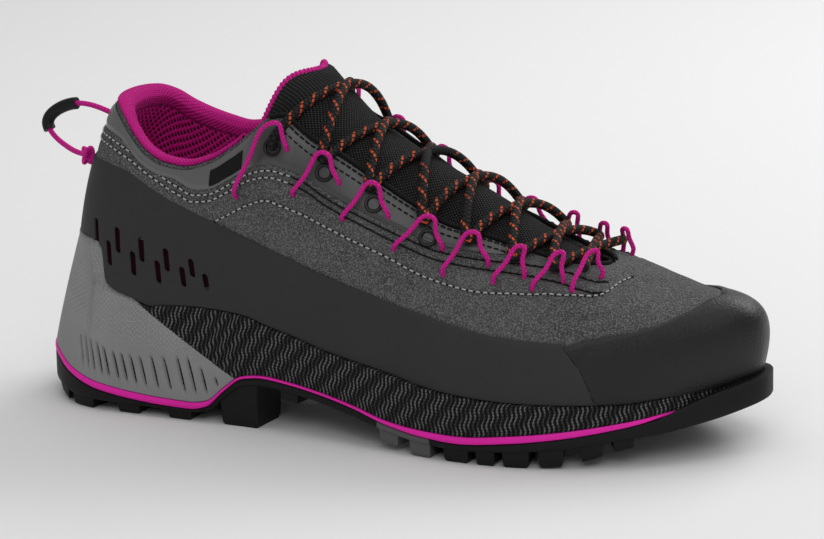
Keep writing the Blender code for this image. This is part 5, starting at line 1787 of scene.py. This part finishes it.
def area_light(name, place, target, size, power):
    lamp = bpy.data.lights.new(name, "AREA")
    lamp.shape = "RECTANGLE"
    lamp.size, lamp.size_y = size
    lamp.energy = power
    made = bpy.data.objects.new(name, lamp)
    made.location = place
    made.rotation_euler = aim(place, target)
    bpy.context.scene.collection.objects.link(made)
    made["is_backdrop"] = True


def make_stage():
    settings = bpy.context.scene.shoe_stage
    azimuth, elevation, roll = settings.azimuth, settings.elevation, settings.roll
    right = Vector((math.cos(azimuth), math.sin(azimuth), 0.0))
    back = Vector((
        math.sin(azimuth) * math.cos(elevation),
        -math.cos(azimuth) * math.cos(elevation),
        math.sin(elevation),
    ))
    upward = back.cross(right)
    turned = right * math.cos(roll) + upward * math.sin(roll)
    upward = back.cross(turned)
    lens = bpy.data.cameras.new("photo_view")
    lens.sensor_width = 36.0
    lens.lens = settings.lens
    lens.clip_start = 0.01
    camera = bpy.data.objects.new("photo_view", lens)
    place = Vector(settings.target) + back * settings.distance
    camera.matrix_world = Matrix((
        (turned.x, upward.x, back.x, place.x),
        (turned.y, upward.y, back.y, place.y),
        (turned.z, upward.z, back.z, place.z),
        (0.0, 0.0, 0.0, 1.0),
    ))
    bpy.context.scene.collection.objects.link(camera)
    bpy.context.scene.camera = camera
    grown = bmesh.new()
    bmesh.ops.create_grid(grown, x_segments=1, y_segments=1, size=6.0)
    sheet = bpy.data.meshes.new("floor")
    grown.to_mesh(sheet)
    grown.free()
    graph = Graph("floor_paper", grey(settings.floor_grey), 0.95)
    sheet.materials.append(graph.material)
    floor = bpy.data.objects.new("floor", sheet)
    bpy.context.scene.collection.objects.link(floor)
    world = bpy.data.worlds.new("studio")
    world.use_nodes = True
    world.node_tree.nodes["Background"].inputs["Color"].default_value = (1.0, 1.0, 1.0, 1.0)
    world.node_tree.nodes["Background"].inputs["Strength"].default_value = settings.sky
    bpy.context.scene.world = world
    bpy.context.scene.view_settings.view_transform = "Standard"
    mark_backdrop(camera, floor)
    middle = (0.0, 0.0, 0.05)
    area_light("key", (0.1, 0.1, 1.5), middle, (2.4, 1.6), settings.key)
    area_light("fill", (0.5, -1.1, 0.9), middle, (0.8, 0.5), settings.fill)
    area_light("back", (0.5, 1.0, 0.9), middle, (1.2, 0.5), settings.rear)


def tint(name, description, default):
    """Setting that holds one colour."""
    return bpy.props.FloatVectorProperty(
        name=name,
        description=description,
        default=default,
        size=4,
        min=0.0,
        max=1.0,
        subtype="COLOR",
    )


class ShoeLooks(bpy.types.PropertyGroup):
    """Sizes and colours of the shoe's fine work."""

    stitch_length: bpy.props.FloatProperty(
        name="Stitch length",
        description="Length of one stitch",
        default=1.5 * MM,
        min=0.5 * MM,
        unit="LENGTH",
    )
    stitch_gap: bpy.props.FloatProperty(
        name="Stitch gap",
        description="Gap between two stitches",
        default=1.1 * MM,
        min=0.1 * MM,
        unit="LENGTH",
    )
    stitch_width: bpy.props.FloatProperty(
        name="Stitch width",
        description="Thickness of the thread",
        default=0.6 * MM,
        min=0.1 * MM,
        unit="LENGTH",
    )
    nubuck: tint("Nubuck", "Colour of the nubuck upper", grey(0.092))
    rand: tint("Rand", "Colour of the rubber rand", grey(0.032))
    cap: tint("Toe cap", "Colour of the rubber toe cap", grey(0.004))
    film: tint("Film", "Colour of the collar film", grey(0.100, 1.03))
    knit: tint("Knit", "Colour of the knit tongue and midsole skin", grey(0.027))
    cradle: tint("Heel cradle", "Colour of the grey heel cradle", grey(0.26))
    tread: tint("Tread", "Colour of the tread rubber", grey(0.007))
    foam: tint("Foam line", "Colour of the thin foam line", (0.80, 0.020, 0.40, 1.0))
    pink: tint("Lining", "Colour of the collar lining and the tongue edge", (0.80, 0.016, 0.33, 1.0))
    cord: tint("Cord", "Colour of the lace loops and the pull loop", (0.86, 0.018, 0.36, 1.0))
    lace: tint("Lace", "Colour of the round lace", grey(0.010))
    dashes: tint("Lace dashes", "Colour of the dashes on the lace", (0.60, 0.090, 0.026, 1.0))
    thread: tint("Thread", "Colour of the pale stitches", grey(0.40))


class ShoeStage(bpy.types.PropertyGroup):
    """View and light of the stage."""

    azimuth: bpy.props.FloatProperty(
        name="Azimuth", description="Turn of the view", default=math.radians(24.8), unit="ROTATION"
    )
    elevation: bpy.props.FloatProperty(
        name="Elevation", description="Height of the view", default=math.radians(14.5), unit="ROTATION"
    )
    roll: bpy.props.FloatProperty(
        name="Roll", description="Roll of the camera", default=math.radians(-1.2), unit="ROTATION"
    )
    distance: bpy.props.FloatProperty(
        name="Distance", description="Distance of the camera", default=1.38, unit="LENGTH"
    )
    lens: bpy.props.FloatProperty(
        name="Lens", description="Focal length in millimetres", default=167.9, min=10.0
    )
    target: bpy.props.FloatVectorProperty(
        name="Target",
        description="Point in the middle of the picture",
        default=(0.0042, 0.0, 0.0545),
        subtype="TRANSLATION",
    )
    floor_grey: bpy.props.FloatProperty(
        name="Floor", description="Grey of the floor", default=0.88, min=0.0, max=1.0
    )
    sky: bpy.props.FloatProperty(
        name="Sky", description="Strength of the light from all round", default=0.36, min=0.0
    )
    key: bpy.props.FloatProperty(
        name="Key", description="Power of the key light in watts", default=8.5, min=0.0
    )
    fill: bpy.props.FloatProperty(
        name="Fill", description="Power of the fill light in watts", default=3.4, min=0.0
    )
    rear: bpy.props.FloatProperty(
        name="Rear", description="Power of the light behind in watts", default=8.5, min=0.0
    )


class SHOE_OT_tread(bpy.types.Operator):
    """Tread sheet, lugs and lip."""

    bl_idname = "shoe.tread"
    bl_label = "Tread"

    def execute(self, context):
        make_tread()
        return {"FINISHED"}


class SHOE_OT_foam_line(bpy.types.Operator):
    """Thin pink foam line."""

    bl_idname = "shoe.foam_line"
    bl_label = "Foam line"

    def execute(self, context):
        make_foam_line()
        return {"FINISHED"}


class SHOE_OT_cradle(bpy.types.Operator):
    """Grey heel cradle with its grooves, and dark tubes in them as painted shade."""

    bl_idname = "shoe.cradle"
    bl_label = "Heel cradle"

    def execute(self, context):
        make_cradle()
        return {"FINISHED"}


class SHOE_OT_midsole(bpy.types.Operator):
    """Knit midsole band."""

    bl_idname = "shoe.midsole"
    bl_label = "Midsole"

    def execute(self, context):
        make_midsole()
        return {"FINISHED"}


class SHOE_OT_insole(bpy.types.Operator):
    """Foot bed inside the shoe."""

    bl_idname = "shoe.insole"
    bl_label = "Insole"

    def execute(self, context):
        make_insole()
        return {"FINISHED"}


class SHOE_OT_upper(bpy.types.Operator):
    """Nubuck upper with its band and creases."""

    bl_idname = "shoe.upper"
    bl_label = "Upper"

    def execute(self, context):
        make_upper()
        return {"FINISHED"}


class SHOE_OT_rand(bpy.types.Operator):
    """Rubber rand with its slots."""

    bl_idname = "shoe.rand"
    bl_label = "Rand"

    def execute(self, context):
        make_rand()
        return {"FINISHED"}


class SHOE_OT_toe_cap(bpy.types.Operator):
    """Rubber toe cap."""

    bl_idname = "shoe.toe_cap"
    bl_label = "Toe cap"

    def execute(self, context):
        make_toe_cap()
        return {"FINISHED"}


class SHOE_OT_film(bpy.types.Operator):
    """Film of the collar and the eyelet stays."""

    bl_idname = "shoe.film"
    bl_label = "Collar film"

    def execute(self, context):
        make_film()
        return {"FINISHED"}


class SHOE_OT_lining(bpy.types.Operator):
    """Mesh lining and its rolled rim."""

    bl_idname = "shoe.lining"
    bl_label = "Lining"

    def execute(self, context):
        make_lining()
        return {"FINISHED"}


class SHOE_OT_tongue(bpy.types.Operator):
    """Knit tongue and its pink edge."""

    bl_idname = "shoe.tongue"
    bl_label = "Tongue"

    def execute(self, context):
        make_tongue()
        return {"FINISHED"}


class SHOE_OT_loops(bpy.types.Operator):
    """Pink cord loops on both sides."""

    bl_idname = "shoe.loops"
    bl_label = "Lace loops"

    def execute(self, context):
        make_loops()
        return {"FINISHED"}


class SHOE_OT_laces(bpy.types.Operator):
    """Round laces crossing the tongue."""

    bl_idname = "shoe.laces"
    bl_label = "Laces"

    def execute(self, context):
        make_laces()
        return {"FINISHED"}


class SHOE_OT_pull(bpy.types.Operator):
    """Pull loop, its sleeve and knot."""

    bl_idname = "shoe.pull"
    bl_label = "Pull loop"

    def execute(self, context):
        make_pull()
        return {"FINISHED"}


class SHOE_OT_eyelets(bpy.types.Operator):
    """Rings under the loops."""

    bl_idname = "shoe.eyelets"
    bl_label = "Eyelets"

    def execute(self, context):
        make_eyelets()
        return {"FINISHED"}


class SHOE_OT_stitches(bpy.types.Operator):
    """Pale and dark stitches, piping, and painted shade along the seams."""

    bl_idname = "shoe.stitches"
    bl_label = "Stitches"

    def execute(self, context):
        make_stitches()
        return {"FINISHED"}


class SHOE_OT_tab(bpy.types.Operator):
    """Plain dark tab on the collar."""

    bl_idname = "shoe.tab"
    bl_label = "Tab"

    def execute(self, context):
        make_tab()
        return {"FINISHED"}


class SHOE_OT_stage(bpy.types.Operator):
    """Floor, lights and the view of the picture."""

    bl_idname = "shoe.stage"
    bl_label = "Stage"

    def execute(self, context):
        make_stage()
        return {"FINISHED"}


OPERATORS = (
    SHOE_OT_tread,
    SHOE_OT_foam_line,
    SHOE_OT_cradle,
    SHOE_OT_midsole,
    SHOE_OT_insole,
    SHOE_OT_upper,
    SHOE_OT_rand,
    SHOE_OT_toe_cap,
    SHOE_OT_film,
    SHOE_OT_lining,
    SHOE_OT_tongue,
    SHOE_OT_loops,
    SHOE_OT_laces,
    SHOE_OT_pull,
    SHOE_OT_eyelets,
    SHOE_OT_stitches,
    SHOE_OT_tab,
    SHOE_OT_stage,
)


class SHOE_PT_pieces(bpy.types.Panel):
    """Pieces and settings of the shoe."""

    bl_idname = "SHOE_PT_pieces"
    bl_label = "Approach shoe"
    bl_space_type = "VIEW_3D"
    bl_region_type = "UI"
    bl_category = "Shoe"

    def draw(self, context):
        for group in (context.scene.shoe_looks, context.scene.shoe_stage):
            for name in group.bl_rna.properties.keys():
                if name not in ("rna_type", "name"):
                    self.layout.prop(group, name)
        for operator in OPERATORS:
            self.layout.operator(operator.bl_idname)


CLASSES = (ShoeLooks, ShoeStage) + OPERATORS + (SHOE_PT_pieces,)


def register():
    for made in CLASSES:
        bpy.utils.register_class(made)
    bpy.types.Scene.shoe_looks = bpy.props.PointerProperty(type=ShoeLooks)
    bpy.types.Scene.shoe_stage = bpy.props.PointerProperty(type=ShoeStage)


def unregister():
    del bpy.types.Scene.shoe_stage
    del bpy.types.Scene.shoe_looks
    for made in reversed(CLASSES):
        bpy.utils.unregister_class(made)


def corners(box):
    return [list(corner) for corner in box]


def main():
    register()
    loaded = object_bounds()
    bpy.ops.shoe.tread()
    bpy.ops.shoe.foam_line()
    bpy.ops.shoe.cradle()
    bpy.ops.shoe.midsole()
    bpy.ops.shoe.insole()
    bpy.ops.shoe.upper()
    bpy.ops.shoe.rand()
    bpy.ops.shoe.toe_cap()
    bpy.ops.shoe.film()
    bpy.ops.shoe.lining()
    bpy.ops.shoe.tongue()
    bpy.ops.shoe.loops()
    bpy.ops.shoe.laces()
    bpy.ops.shoe.pull()
    bpy.ops.shoe.eyelets()
    bpy.ops.shoe.stitches()
    bpy.ops.shoe.tab()
    bpy.ops.shoe.stage()
    {"loaded": corners(loaded), "finished": corners(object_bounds())}


if __name__ == "__main__":
    main()
